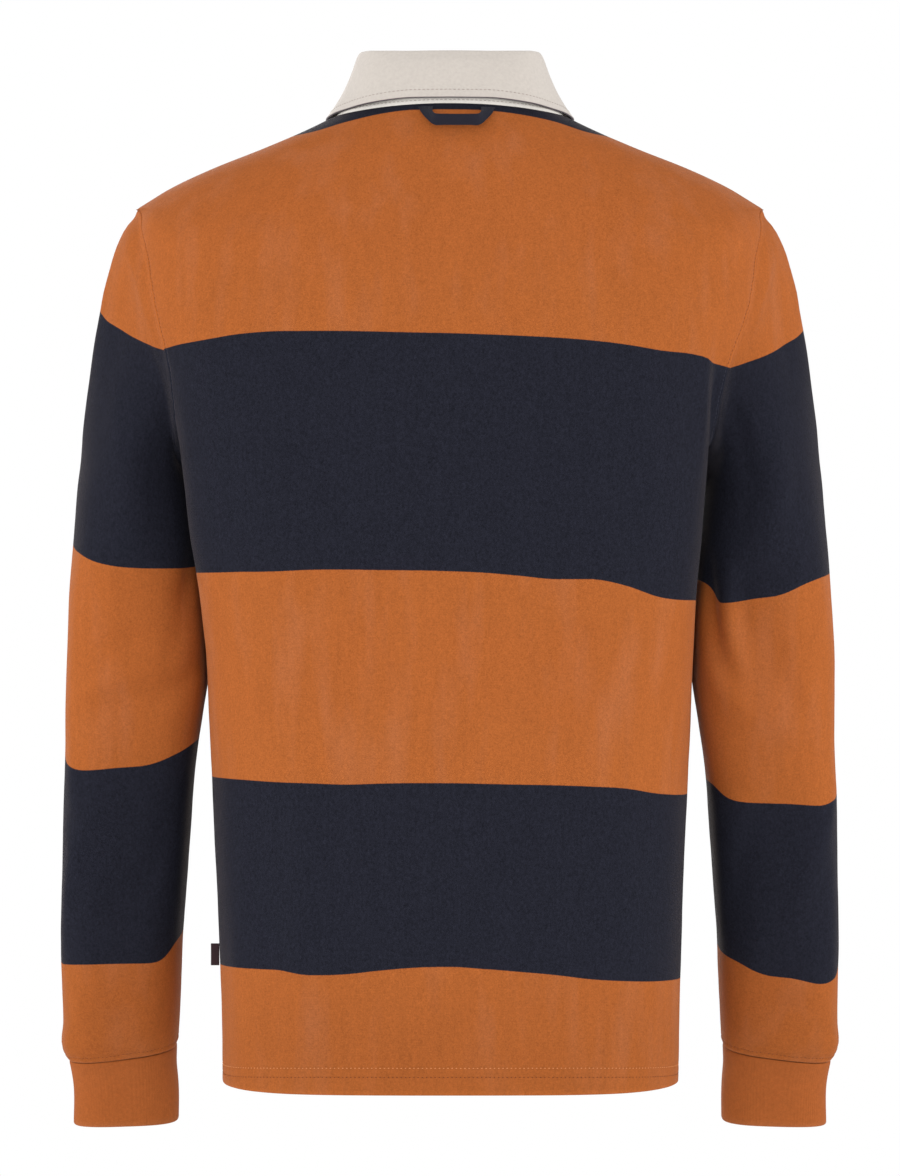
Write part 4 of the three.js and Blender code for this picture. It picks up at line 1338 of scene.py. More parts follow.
@dataclass
class Placket:
    """The strip down the front, with its buttons."""

    width: float = 34.0
    high_side: float = -1.5
    low_side: float = -262.0
    lift: float = 0.8
    stitch: float = 2.2
    button_lift: float = 0.5

    BUTTONS = (("top", -22.0), ("middle", -128.0), ("low", -205.0))
    LOW_ROWS = (0, 0.2, 0.5, 1, 1.7, 2.2, 2.8)
    ACROSS = (0, 0.1, 0.3, 0.6, 1, 1.6, 2, 2.2, 2.4, 2.9, 4, 6, 8.5, 11, 14, 17)

    def cut(self) -> Cloth:
        """Makes the strip on the front panel's form.

        Returns:
            The finished cloth.
        """
        half = np.array(self.ACROSS) - self.width / 2
        x = np.concatenate([half, -half[-2::-1]])
        edge = self.low_side + np.array(self.LOW_ROWS)
        side = np.concatenate([edge, np.linspace(edge[-1], self.high_side, 74)[1:]])
        side_grid, x_grid = np.meshgrid(side, x, indexing="ij")
        normals = front_normal(side_grid, x_grid)
        on_panel = panel_point(side_grid, x_grid, Face.FRONT)
        folds = fold_rise(FRONT_FOLDS, on_panel[..., 0], on_panel[..., 2])
        bumps = unevenness(on_panel) + TRUNK_FOLDS * folds
        points = on_panel + normals * (self.lift + TWILL_WALL)
        cloth = Cloth(points, False, 1, wall=TWILL_WALL)
        cloth.normals = normals
        rim = self.rim_distance(points)
        edge_fold = round_edge(rim, TWILL_WALL)
        cloth.lift = bumps - edge_fold - stitch_groove(rim, self.stitch, 0.2) + 0.12 * (1 - ease(rim, 1.4, 2))
        cloth.pinch = edge_fold
        return cloth

    @staticmethod
    def rim_distance(points: Array) -> Array:
        """The distance of each point from the sides and the lower end."""
        across, along = run_lengths(points, 1), run_lengths(points, 0)
        return np.minimum(np.minimum(across, across[:, -1:] - across), along)


@dataclass
class HangingLoop:
    """The tape loop under the neck seam at the back."""

    centre: float = -4.9

    ACROSS = (0, 0.012, 0.04, 0.1, 0.2, 0.35, 0.5, 0.65, 0.8, 0.9, 0.96, 0.988, 1)

    def cut(self) -> Cloth:
        """Makes the tape, bowed off the back between its two ends.

        Returns:
            The finished cloth.
        """
        place = np.linspace(5, -5, 101)[None, :]
        across = np.array(self.ACROSS)[:, None]
        sign = np.where(place >= 0, 1, -1)

        def at(name: str) -> Array:
            upper, lower = (LOOP.read("step", f"{edge}_{name}", np.abs(place)) for edge in ("upper", "lower"))
            return upper + (lower - upper) * across

        x, z, lift = self.centre + sign * at("x"), at("z"), at("lift")
        side = TRUNK.read("back_z", "side", z)
        points = panel_point(side, x, Face.BACK) + vectors(0, lift + TAPE_WALL, 0)
        cloth = Cloth(points, False, 1, wall=TAPE_WALL)
        along = run_lengths(points, 0)
        rim = np.minimum(along, along[-1] - along)
        edge = round_edge(rim, TAPE_WALL)
        cloth.lift = -edge + 0.15 * np.exp(-((rim - 0.9) / 0.5) ** 2)
        cloth.pinch = edge
        return cloth


@dataclass
class SideTab:
    """The folded tape that stands out of the left side seam."""

    gap: float = 0.35
    tape: float = 0.55
    flare: float = 0.5

    HEIGHTS = (0, 0.01, 0.03, 0.08, 0.2, 0.35, 0.5, 0.65, 0.8, 0.92, 0.97, 0.99, 1)

    def cut(self) -> Cloth:
        """Makes the folded tape in the box of its solid.

        Returns:
            The tape, whose rows run from the seam out to the fold and back.
        """
        low, high = (np.array(corner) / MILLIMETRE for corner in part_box("side_tab"))
        middle = (low[1] + high[1]) / 2
        reach = high[0] - low[0]
        radius = self.gap / 2 + self.tape
        straight = np.linspace(0, reach - radius, 9)
        turn = np.linspace(90, -90, 15)[1:-1] * DEGREES
        x = np.concatenate([straight, reach - radius + radius * np.cos(turn), straight[::-1]])
        y = np.concatenate([np.full(9, radius), radius * np.sin(turn), np.full(9, -radius)])
        share = np.array(self.HEIGHTS)
        height = low[2] + (high[2] - low[2]) * share
        flare = self.flare * np.sin(share * math.pi)
        points = vectors(low[0] + x[:, None] * (1 - 0.02 * flare), middle + y[:, None], height[None, :])
        cloth = Cloth(points, False, 1, wall=self.tape)
        along = run_lengths(points, 1)
        edge = round_edge(np.minimum(along, along[:, -1:] - along), self.tape)
        cloth.lift, cloth.pinch = -edge, edge
        return cloth


@dataclass
class Sewing:
    """Rows of stitches as small raised threads."""

    length: float = 2.5
    space: float = 0.65
    radius: float = 0.26

    SIDES = 5
    RISES = (-0.24, 0.06, 0.12, 0.06, -0.24)
    WIDTHS = (0.5, 0.95, 1, 0.95, 0.5)

    def sew(self, name: str, runs: Sequence[Run]) -> Piece:
        """Makes all the stitches along some lines as one piece.

        Args:
            name: The piece's name.
            runs: The lines that they follow.

        Returns:
            The piece.
        """
        vertices, faces, levels = [], [], []
        turn = np.arange(self.SIDES) / self.SIDES * 2 * math.pi
        rings = len(self.RISES)
        for run in runs:
            total = run.along[-1]
            count = max(int(total / (self.length + self.space)), 1)
            pitch = total / count
            share = np.linspace(0, 1, rings)
            starts = np.arange(count) * pitch + self.space / 2
            places = starts[:, None] + share[None, :] * (pitch - self.space)
            line = run.at(places.ravel())
            points = line.points.reshape(count, rings, 3)
            normals = line.normals.reshape(count, rings, 3)
            ahead = unit(np.gradient(points, axis=1))
            beside = unit(np.cross(ahead, normals))
            centre = points + normals * np.array(self.RISES)[None, :, None]
            radius = self.radius * np.array(self.WIDTHS)[None, :, None, None]
            around = np.cos(turn)[None, None, :, None] * normals[:, :, None]
            around = around * 0.8 + np.sin(turn)[None, None, :, None] * beside[:, :, None]
            stitch = centre[:, :, None] + around * radius
            base = sum(len(v) for v in vertices)
            vertices.append(stitch.reshape(-1, 3))
            levels.append(np.repeat(line.levels, self.SIDES))
            k, j, i = np.indices((count, rings - 1, self.SIDES))
            first = base + k * rings * self.SIDES + j * self.SIDES
            following = (i + 1) % self.SIDES
            quads = [first + i, first + following, first + self.SIDES + following, first + self.SIDES + i]
            faces.append(np.stack([q.ravel() for q in quads], axis=1))
        piece = make_mesh(name, np.concatenate(vertices) * MILLIMETRE, np.concatenate(faces), None)
        cap_ends(piece)
        add_attribute(piece, "level", np.concatenate(levels))
        return piece


def cap_ends(piece: Piece) -> None:
    """Closes every open ring of a mesh and turns its faces outwards.

    Args:
        piece: The piece whose mesh it is.
    """
    deselect(piece)
    bpy.ops.object.mode_set(mode="EDIT")
    bpy.ops.mesh.select_all(action="SELECT")
    bpy.ops.mesh.fill_holes(sides=0)
    bpy.ops.mesh.select_all(action="SELECT")
    bpy.ops.mesh.normals_make_consistent(inside=False)
    bpy.ops.object.mode_set(mode="OBJECT")
    deselect()


@dataclass
class Button:
    """A round rubber button with a dished face, four holes and its thread.

    Attributes:
        radius: Half its width.
        height: From the placket to the rim.
        rim: The width of the rim round the dish.
        dish: How far the dish lies below the rim.
        base: From the placket to the underside of the bead.
        bead: The height of the bead round the rim.
        hole: The radius of each hole.
        hole_place: The distance of each hole from the middle, across and along.
        thread: The radius of the thread through two holes.
    """

    radius: float = 7.4
    height: float = 3.3
    rim: float = 1.7
    dish: float = 0.8
    base: float = 2.4
    bead: float = 0.15
    hole: float = 0.85
    hole_place: float = 1.5
    thread: float = 0.42

    def model(self) -> tuple[Piece, Piece]:
        """Models the disc and its thread at the origin, in metres.

        Returns:
            The disc and the thread.
        """
        deselect()
        size = MILLIMETRE
        depth = self.base * size
        bpy.ops.mesh.primitive_cylinder_add(
            vertices=64, radius=self.radius * size, depth=depth, location=(0, 0, depth / 2)
        )
        disc = bpy.context.object
        bpy.ops.object.mode_set(mode="EDIT")
        bpy.ops.mesh.select_all(action="DESELECT")
        bpy.ops.object.mode_set(mode="OBJECT")
        for face in disc.data.polygons:
            face.select = face.normal.z > 0.9
        bpy.ops.object.mode_set(mode="EDIT")
        bead = ((0.5, self.height - self.base - self.bead), (0.35, self.bead))
        for inset, rise in (*bead, (self.rim - 0.85, -self.bead), (0.6, -self.dish)):
            bpy.ops.mesh.inset(thickness=inset * size, depth=0)
            bpy.ops.transform.translate(value=(0, 0, rise * size))
        bpy.ops.mesh.inset(thickness=1.2 * size, depth=0)
        bpy.ops.object.mode_set(mode="OBJECT")
        bevel = disc.modifiers.new("soft_edge", "BEVEL")
        bevel.width, bevel.segments, bevel.limit_method, bevel.angle_limit = 0.45 * size, 3, "ANGLE", 0.5
        bpy.ops.object.modifier_apply(modifier=bevel.name)
        for across in (-1, 1):
            for along in (-1, 1):
                place = (across * self.hole_place * size, along * self.hole_place * size, 1.5 * size)
                bpy.ops.mesh.primitive_cylinder_add(
                    vertices=20, radius=self.hole * size, depth=6 * size, location=place
                )
                drill = bpy.context.object
                deselect(disc)
                cut = disc.modifiers.new("hole", "BOOLEAN")
                cut.operation, cut.solver, cut.object = "DIFFERENCE", "EXACT", drill
                bpy.ops.object.modifier_apply(modifier=cut.name)
                bpy.data.objects.remove(drill)
                deselect(disc)
        bpy.ops.object.shade_smooth_by_angle(angle=0.6)
        loops = []
        for across in (-1, 1):
            bpy.ops.mesh.primitive_torus_add(
                location=(across * self.hole_place * size, 0, (self.height - self.dish - 1.05) * size),
                rotation=(0, math.pi / 2, 0),
                major_segments=28,
                minor_segments=8,
                major_radius=self.hole_place * size,
                minor_radius=self.thread * size,
            )
            loops.append(bpy.context.object)
        deselect(*loops)
        bpy.ops.object.join()
        bpy.ops.object.transform_apply()
        bpy.ops.object.shade_smooth()
        thread = bpy.context.object
        deselect()
        return disc, thread


def deselect(*kept: Piece) -> None:
    """Deselects everything but some objects.

    Args:
        kept: The objects, the last of which becomes the active one.
    """
    bpy.ops.object.select_all(action="DESELECT")
    for piece in kept:
        piece.select_set(True)
        bpy.context.view_layer.objects.active = piece


def place_copy(pattern: Piece, name: str, matrix: Matrix) -> Piece:
    """Copies a modelled piece with its own mesh and puts its place into the mesh.

    Args:
        pattern: The piece that is copied.
        name: The copy's name.
        matrix: The copy's place, in metres.

    Returns:
        The copy.
    """
    copy = pattern.copy()
    copy.data = pattern.data.copy()
    copy.name = copy.data.name = name
    bpy.context.scene.collection.objects.link(copy)
    copy.matrix_world = matrix
    deselect(copy)
    bpy.ops.object.transform_apply()
    deselect()
    return copy


# Colours as the photograph shows them under even light, from 0 to 255
RUST = (183, 100, 47)
NAVY = (38, 39, 50)
CREAM = (217, 208, 199)
# The dark purple at the collar's lower edge is partly an edging and partly painted shade for the gap under
# the leaf
CUFF_RUST = (172, 93, 44)
PURPLE_RIM_AND_SHADE = (92, 76, 88)
BURGUNDY = (62, 44, 48)
BUTTON_WHITE = (214, 208, 198)
TAPE_NAVY = (34, 34, 46)
# A lighter cream than the collar's, which paints light into the shade under the collar's outer leaf
LIT_STAND_CREAM = (252, 246, 238)
CREAM_THREAD = (186, 172, 164)
LIGHT_THREAD = (230, 156, 104)
DARK_THREAD = (112, 54, 26)
NAVY_THREAD = (56, 58, 72)
RUST_THREAD = (126, 62, 28)

# How bright a surface of full white shows in the studio's light
STUDIO_LEVEL = 1.7


def shade(colour: Colour, factor: float = 1.0) -> tuple[float, float, float, float]:
    """A surface colour that shows as the given one in the studio's light.

    Args:
        colour: The shown colour, each part from 0 to 255.
        factor: How much lighter the surface is made.

    Returns:
        The linear colour with a full alpha.
    """
    linear = [(part / 255 / 12.92 if part < 11 else ((part / 255 + 0.055) / 1.055) ** 2.4) for part in colour]
    red, green, blue = (min(part * factor / STUDIO_LEVEL, 1) for part in linear)
    return red, green, blue, 1.0


def operator(operation: str, reflected: bool = False) -> Callable[["Value", "Value | float"], "Value"]:
    """Makes an arithmetic operator of surface numbers.

    Args:
        operation: The Math node's operation.
        reflected: Whether the number is the second operand.

    Returns:
        The operator.
    """
    return lambda own, other: own.math(operation, *((other, own) if reflected else (own, other)))


class Value:
    """A number that changes over a surface, for use in arithmetic."""

    __add__, __radd__ = operator("ADD"), operator("ADD", True)
    __sub__, __rsub__ = operator("SUBTRACT"), operator("SUBTRACT", True)
    __mul__, __rmul__ = operator("MULTIPLY"), operator("MULTIPLY", True)
    __truediv__, __rtruediv__ = operator("DIVIDE"), operator("DIVIDE", True)

    def __init__(self, sheet: "NodeSheet", socket: Socket) -> None:
        """Keeps the socket that gives the number."""
        self.sheet = sheet
        self.socket = socket

    def math(self, operation: str, *operands: "Value | float", clamped: bool = False) -> "Value":
        """Adds a Math node.

        Args:
            operation: The node's operation.
            operands: Its inputs, in order.
            clamped: Whether the result is kept from 0 to 1.

        Returns:
            The result.
        """
        settings = {"operation": operation, "use_clamp": clamped}
        node = self.sheet.node("ShaderNodeMath", settings, dict(enumerate(operands)))
        return Value(self.sheet, node.outputs[0])

    def wave(self, length: float) -> "Value":
        """A wave from -1 to 1 that repeats over a length."""
        return self.math("SINE", self * (2 * math.pi / length))

    def zigzag(self, length: float) -> "Value":
        """A straight rise and fall from 0 to 1 that repeats over a length."""
        return self.math("PINGPONG", self, length / 2) * (2 / length)

    def held(self) -> "Value":
        """The same number, kept from 0 to 1."""
        return self.math("ADD", self, 0.0, clamped=True)


class NodeSheet:
    """The node tree of one material."""

    def __init__(self, name: str) -> None:
        """Starts an empty material.

        Args:
            name: The material's name.
        """
        self.material = bpy.data.materials.new(name)
        self.material.use_nodes = True
        self.tree = self.material.node_tree
        self.tree.nodes.clear()

    def node(self, kind: str, settings: dict, inputs: dict) -> bpy.types.Node:
        """Adds a node.

        Args:
            kind: The node's type.
            settings: Its settings, which are set first.
            inputs: The value or link of each socket, by name or number.

        Returns:
            The node.
        """
        made = self.tree.nodes.new(kind)
        for name, value in settings.items():
            setattr(made, name, value)
        for name, value in inputs.items():
            source = value.socket if isinstance(value, Value) else value
            if isinstance(source, Socket):
                self.tree.links.new(source, made.inputs[name])
            else:
                made.inputs[name].default_value = source
        return made

    def place(self) -> Socket:
        """The place on the object, in metres."""
        return self.node("ShaderNodeTexCoord", {}, {}).outputs["Object"]

    def upward(self) -> Value:
        """The height on the object, in metres."""
        parts = self.node("ShaderNodeSeparateXYZ", {}, {0: self.place()})
        return Value(self, parts.outputs[2])

    def cloth_place(self) -> tuple[Value, Value]:
        """Reads the place on the cloth.

        Returns:
            The distances across and along it, in millimetres.
        """
        layer = self.node("ShaderNodeUVMap", {"uv_map": "cloth"}, {})
        parts = self.node("ShaderNodeSeparateXYZ", {}, {0: layer.outputs[0]})
        return Value(self, parts.outputs[0]) * 1000, Value(self, parts.outputs[1]) * 1000

    def number(self, name: str) -> Value:
        """A number that each corner of the mesh carries."""
        return Value(self, self.node("ShaderNodeAttribute", {"attribute_name": name}, {}).outputs["Fac"])

    def noise(self, size: float, detail: float = 2.0, roughness: float = 0.5, tall: float = 1.0) -> Value:
        """Adds soft noise.

        Args:
            size: The size of its grains, in millimetres.
            detail: How many finer layers it has.
            roughness: How strong they are.
            tall: How much taller than wide the grains are.

        Returns:
            A number from 0 to 1.
        """
        inputs = {0: self.place(), 1: (1.0, 1.0, 1 / tall)}
        place = self.node("ShaderNodeVectorMath", {"operation": "MULTIPLY"}, inputs).outputs[0]
        inputs = {"Vector": place, "Scale": 1000 / size, "Detail": detail, "Roughness": roughness}
        return Value(self, self.node("ShaderNodeTexNoise", {}, inputs).outputs[0])

    def mix(self, share: Value, first: object, second: object) -> Socket:
        """Goes from the first colour to the second."""
        settings = {"data_type": "RGBA"}
        return self.node("ShaderNodeMix", settings, {0: share, 6: first, 7: second}).outputs[2]

    def tone(self, colour: object, factor: Value) -> Socket:
        """A colour, or that of a socket, made lighter or darker by a factor."""
        inputs = {0: colour[:3] if isinstance(colour, tuple) else colour, "Scale": factor}
        return self.node("ShaderNodeVectorMath", {"operation": "SCALE"}, inputs).outputs[0]

    def finish(
        self, colour: object, roughness: object, height: Value, relief: float, **constants: object
    ) -> None:
        """Joins the surface together.

        Args:
            colour: The base colour.
            roughness: The roughness.
            height: The relief, from about 0 to 1.
            relief: Its depth in millimetres.
            constants: Other sockets of the surface, by name with underscores.
        """
        inputs = {"Strength": 1.0, "Distance": relief * MILLIMETRE, "Height": height}
        bump = self.node("ShaderNodeBump", {}, inputs)
        inputs = {"Base Color": colour, "Roughness": roughness, "Normal": bump.outputs[0]}
        inputs.update({name.replace("_", " "): value for name, value in constants.items()})
        surface = self.node("ShaderNodeBsdfPrincipled", {}, inputs)
        self.node("ShaderNodeOutputMaterial", {}, {"Surface": surface.outputs[0]})


def band_mask(sheet: NodeSheet) -> Value:
    """1 in the navy bands and 0 in the rust ones, with a crisp edge along the knit."""
    level = sheet.number("level") + (sheet.noise(1.6) - 0.5) * 0.0022
    return (level.math("SINE", level * math.pi) * 90 + 0.5).held()


class Finish:
    """What all the finishes share."""

    def material(self, name: str) -> bpy.types.Material:
        """Makes the material.

        Args:
            name: The material's name.

        Returns:
            The material.
        """
        sheet = NodeSheet(name)
        self.paint(sheet)
        return sheet.material

    def paint(self, sheet: NodeSheet) -> None:
        """Adds the nodes of the finish to a sheet."""
        raise NotImplementedError


@dataclass(frozen=True)
class Jersey(Finish):
    """Heavy cotton jersey, rust with broad navy bands.

    Attributes:
        wale: The width of one column of stitches.
        course: The height of one row of stitches.
        relief: How far the stitches stand out.
        bottom_shade_height: Where the painted shade towards the bottom starts, in metres.
        bottom_shade_reach: How far below that the painted shade is darkest.
        bottom_shade: How much darker the painted shade makes the rust there.
    """

    wale: float = 1.5
    course: float = 1.15
    relief: float = 0.16
    bottom_shade_height: float = -0.59
    bottom_shade_reach: float = 0.08
    bottom_shade: float = 0.1

    def paint(self, sheet: NodeSheet) -> None:
        """Adds the knit, bands, mottle, rubbed edges, painted seam shade and painted shade towards the
        bottom.

        Args:
            sheet: The material's nodes.
        """
        across, along = sheet.cloth_place()
        column = across.zigzag(self.wale)
        stitch = (along + column * (self.course * 0.55)).wave(self.course)
        furrow = (column * math.pi).math("SINE", column * math.pi)
        knit = furrow * 0.6 + (stitch * 0.5 + 0.5) * furrow * 0.4
        fibre, mottle, cloud = sheet.noise(1.0, 2), sheet.noise(1.9, 3, 0.7, 1.5), sheet.noise(58, 3)
        streak, haze = sheet.noise(7, 4, 0.6, 7.0), sheet.noise(24, 3, 0.5, 5.0)
        # Painted shade: the rust is made darker towards the bottom of the shirt, where less light falls
        low = ((self.bottom_shade_height - sheet.upward()) / self.bottom_shade_reach).held()
        wear_and_shade = sheet.number("wear_and_shade")
        navy = sheet.tone(shade(NAVY), mottle * 1.2 + fibre * 1.0 + streak * 0.2 - 0.29)
        rust = sheet.mix(cloud * 0.5 + mottle * 0.5, shade(RUST, 0.96), shade((187, 105, 51)))
        rust = sheet.mix(((haze - 0.5) * 2.4).held() * 0.5, rust, shade((192, 121, 84)))
        grain = 0.4 + mottle * 0.42 + fibre * 0.6 + streak * 0.2
        # The painted shade towards the bottom darkens the rust here
        rust = sheet.tone(rust, grain * (1 - low * self.bottom_shade))
        colour = sheet.mix(band_mask(sheet), rust, navy)
        # Rubbed wear lightens the colour, and below 0 painted seam shade darkens it
        colour = sheet.tone(colour, (0.95 + knit * 0.08) * (1 + wear_and_shade * (0.5 + fibre * 0.3)))
        height = knit * 0.7 + fibre * 0.25 + mottle * 0.25
        sheet.finish(
            colour, 0.86 + mottle * 0.1, height, self.relief,
            Sheen_Weight=0.08, Sheen_Roughness=0.22, Sheen_Tint=(1.0, 0.82, 0.74, 1.0),
            Specular_IOR_Level=0.05,
        )


@dataclass(frozen=True)
class Rib(Finish):
    """The fine rib of the cuffs.

    The course is the height of one row of stitches, and the relief how far they stand out.
    """

    course: float = 1.1
    relief: float = 0.12

    def paint(self, sheet: NodeSheet) -> None:
        """Adds the rows of stitches; the ribs themselves are in the mesh.

        Args:
            sheet: The material's nodes.
        """
        along = sheet.cloth_place()[1]
        fibre, mottle, cloud = sheet.noise(0.8, 3), sheet.noise(3.1, 3), sheet.noise(30, 3)
        row = along.wave(self.course) * 0.5 + 0.5
        colour = sheet.mix(cloud, shade(CUFF_RUST, 0.97), shade((176, 97, 48)))
        colour = sheet.tone(colour, 0.62 + mottle * 0.3 + fibre * 0.46 + row * 0.03)
        colour = sheet.mix(sheet.number("wear_and_shade") * (0.12 + fibre * 0.1), colour, shade((226, 178, 146)))
        sheet.finish(
            colour, 0.88 + mottle * 0.08, row * 0.6 + fibre * 0.5, self.relief,
            Sheen_Weight=0.04, Sheen_Roughness=0.4, Sheen_Tint=(1.0, 0.76, 0.6, 1.0), Specular_IOR_Level=0.06,
        )


@dataclass(frozen=True)
class Twill(Finish):
    """Cream cotton twill, with the dark line along the collar's edge, partly an edging and partly painted
    shade.

    The line is the distance from one diagonal to the next.
    """

    colour: Colour = CREAM
    line: float = 1.1
    relief: float = 0.09

    def paint(self, sheet: NodeSheet) -> None:
        """Adds the diagonal weave and the dark rim.

        Args:
            sheet: The material's nodes.
        """
        across, along = sheet.cloth_place()
        weave = (across + along * 1.1).wave(self.line * 1.45) * 0.5 + 0.5
        yarn = along.wave(0.62) * 0.5 + 0.5
        fibre, mottle, cloud = sheet.noise(0.7, 3), sheet.noise(2.2, 3, 0.7), sheet.noise(40, 3)
        colour = sheet.mix(cloud, shade(self.colour, 0.98), shade(self.colour, 1.05))
        colour = sheet.tone(colour, 0.77 + weave * 0.05 + mottle * 0.28 + fibre * 0.1)
        colour = sheet.mix(sheet.number("level") * (0.78 + mottle * 0.3), colour, shade(PURPLE_RIM_AND_SHADE))
        colour = sheet.mix(sheet.number("wear_and_shade") * (0.2 + fibre * 0.2), colour, shade((188, 172, 158)))
        height = weave * 0.6 + yarn * 0.2 + fibre * 0.3
        sheet.finish(
            colour, 0.84 + mottle * 0.1, height, self.relief,
            Sheen_Weight=0.12, Sheen_Roughness=0.5, Specular_IOR_Level=0.3,
        )


@dataclass(frozen=True)
class Herringbone(Finish):
    """Woven tape in one colour, whose lines turn over at each stripe.

    The stripe is the width of one stripe of the weave.
    """

    colour: Colour
    stripe: float = 2.4
    relief: float = 0.1

    def paint(self, sheet: NodeSheet) -> None:
        """Adds the yarns.

        Args:
            sheet: The material's nodes.
        """
        across, along = sheet.cloth_place()
        yarn = (across + along.zigzag(self.stripe) * self.stripe * 0.5).wave(0.7) * 0.5 + 0.5
        fibre, mottle = sheet.noise(0.6, 3), sheet.noise(5, 3)
        colour = sheet.tone(shade(self.colour), 0.72 + yarn * 0.24 + mottle * 0.3 + fibre * 0.16)
        sheet.finish(
            colour, 0.78 + mottle * 0.14, yarn * 0.8 + fibre * 0.2, self.relief,
            Sheen_Weight=0.03, Sheen_Roughness=0.4, Specular_IOR_Level=0.12,
        )


@dataclass(frozen=True)
class Rubber(Finish):
    """The matt off-white rubber of the buttons."""

    relief: float = 0.05

    def paint(self, sheet: NodeSheet) -> None:
        """Adds the moulded grain and dust.

        Args:
            sheet: The material's nodes.
        """
        grain, cloud, speck = sheet.noise(0.35, 2), sheet.noise(4, 3), sheet.noise(0.9, 2)
        colour = sheet.mix(cloud, shade(BUTTON_WHITE), shade((198, 190, 178)))
        colour = sheet.tone(colour, 0.94 + speck * 0.1)
        sheet.finish(colour, 0.5 + cloud * 0.2, grain, self.relief, Specular_IOR_Level=0.4)


@dataclass(frozen=True)
class BandedThread(Finish):
    """Sewing thread that is dyed to match the bands under it."""

    twist: float = 0.5

    def paint(self, sheet: NodeSheet) -> None:
        """Adds the twist and the band under each stitch.

        Args:
            sheet: The material's nodes.
        """
        twist, fibre = sheet.noise(self.twist, 1), sheet.noise(2.2, 2)
        navy = sheet.tone(shade(NAVY_THREAD), 0.8 + fibre * 0.5)
        rust = sheet.tone(shade(RUST_THREAD), 0.72 + fibre * 0.5)
        colour = sheet.mix(band_mask(sheet), rust, navy)
        colour = sheet.tone(colour, 0.9 + twist * 0.2)
        sheet.finish(colour, 0.7 + fibre * 0.16, twist, 0.05, Sheen_Weight=0.04, Specular_IOR_Level=0.12)


@dataclass(frozen=True)
class PlainThread(Finish):
    """Sewing thread in one colour."""

    colour: Colour

    def paint(self, sheet: NodeSheet) -> None:
        """Adds the twist.

        Args:
            sheet: The material's nodes.
        """
        twist, fibre = sheet.noise(0.5, 1), sheet.noise(2.2, 2)
        colour = sheet.tone(shade(self.colour), 0.84 + twist * 0.16 + fibre * 0.16)
        sheet.finish(colour, 0.7 + fibre * 0.2, twist, 0.05, Sheen_Weight=0.04, Specular_IOR_Level=0.12)


@dataclass(frozen=True)
class PaleFloor(Finish):
    """The studio's matt floor."""

    def paint(self, sheet: NodeSheet) -> None:
        """Adds a faint unevenness.

        Args:
            sheet: The material's nodes.
        """
        cloud, grain = sheet.noise(420, 3), sheet.noise(6, 3)
        colour = sheet.tone((0.8, 0.8, 0.79, 1.0), 0.97 + cloud * 0.05 + grain * 0.01)
        sheet.finish(colour, 0.82 + cloud * 0.08, grain, 0.2)


@dataclass
class Studio:
    """The camera, the lights and the floor, in metres.

    Attributes:
        distance: How far the camera stands behind the shirt.
        height: The camera's height, level with the middle of the frame.
        frame_height: What the frame takes in from top to bottom at the origin.
        floor_height: The height of the floor, out of the photograph's view.
        floor_radius: Half the floor's width.
        sky: The brightness of the white surroundings.
    """

    distance: float = 4.0
    height: float = -0.3431
    frame_height: float = 0.8585
    floor_height: float = -1.5
    floor_radius: float = 2.0
    sky: float = 1.0

    SENSOR = 36.0
    LAMPS = (
        ("back_light", (0.3, 4.7, 0.4), 2.2, 60.0),
        ("left_light", (-3.2, 1.2, 0.0), 2.2, 80.0),
        ("right_light", (3.2, 1.2, 0.0), 2.2, 80.0),
        ("front_light", (0.6, -3.4, 0.9), 2.0, 88.0),
    )

    def build(self, finish: PaleFloor) -> None:
        """Sets up the studio round the shirt.

        Args:
            finish: The floor's finish.
        """
        scene = bpy.context.scene
        camera = bpy.data.cameras.new("camera")
        camera.sensor_width = self.SENSOR
        camera.lens = self.SENSOR * self.distance / self.frame_height
        camera.clip_end = 50
        stand = bpy.data.objects.new("camera", camera)
        stand.location = (0, self.distance, self.height)
        stand.rotation_euler = (math.pi / 2, 0, math.pi)
        scene.collection.objects.link(stand)
        scene.camera = stand
        scene.view_settings.view_transform = "Standard"
        world = bpy.data.worlds.new("surroundings")
        world.use_nodes = True
        background = world.node_tree.nodes["Background"]
        background.inputs["Color"].default_value = (1.0, 1.0, 1.0, 1.0)
        background.inputs["Strength"].default_value = self.sky
        scene.world = world
        for name, place, size, power in self.LAMPS:
            lamp = bpy.data.lights.new(name, "AREA")
            lamp.shape, lamp.size, lamp.energy = "DISK", size, power
            holder = bpy.data.objects.new(name, lamp)
            holder.location = place
            aim = Vector((0, 0, self.height)) - Vector(place)
            holder.rotation_euler = aim.to_track_quat("-Z", "Y").to_euler()
            scene.collection.objects.link(holder)
        deselect()
        bpy.ops.mesh.primitive_circle_add(
            vertices=96, radius=self.floor_radius, fill_type="NGON", location=(0, 0, self.floor_height)
        )
        floor = bpy.context.object
        floor.name = "studio_floor"
        bpy.ops.object.mode_set(mode="EDIT")
        bpy.ops.mesh.inset(thickness=0.06)
        bpy.ops.object.mode_set(mode="OBJECT")
        bpy.ops.object.transform_apply()
        floor.data.materials.append(finish.material("pale_floor"))
        deselect()


@dataclass(frozen=True)
class Cut:
    """How a piece of cloth was cut before it was sewn, in metres.

    The area is given where the cut isn't a rectangle.
    """

    width: float
    length: float
    held: str
    area: float | None = None


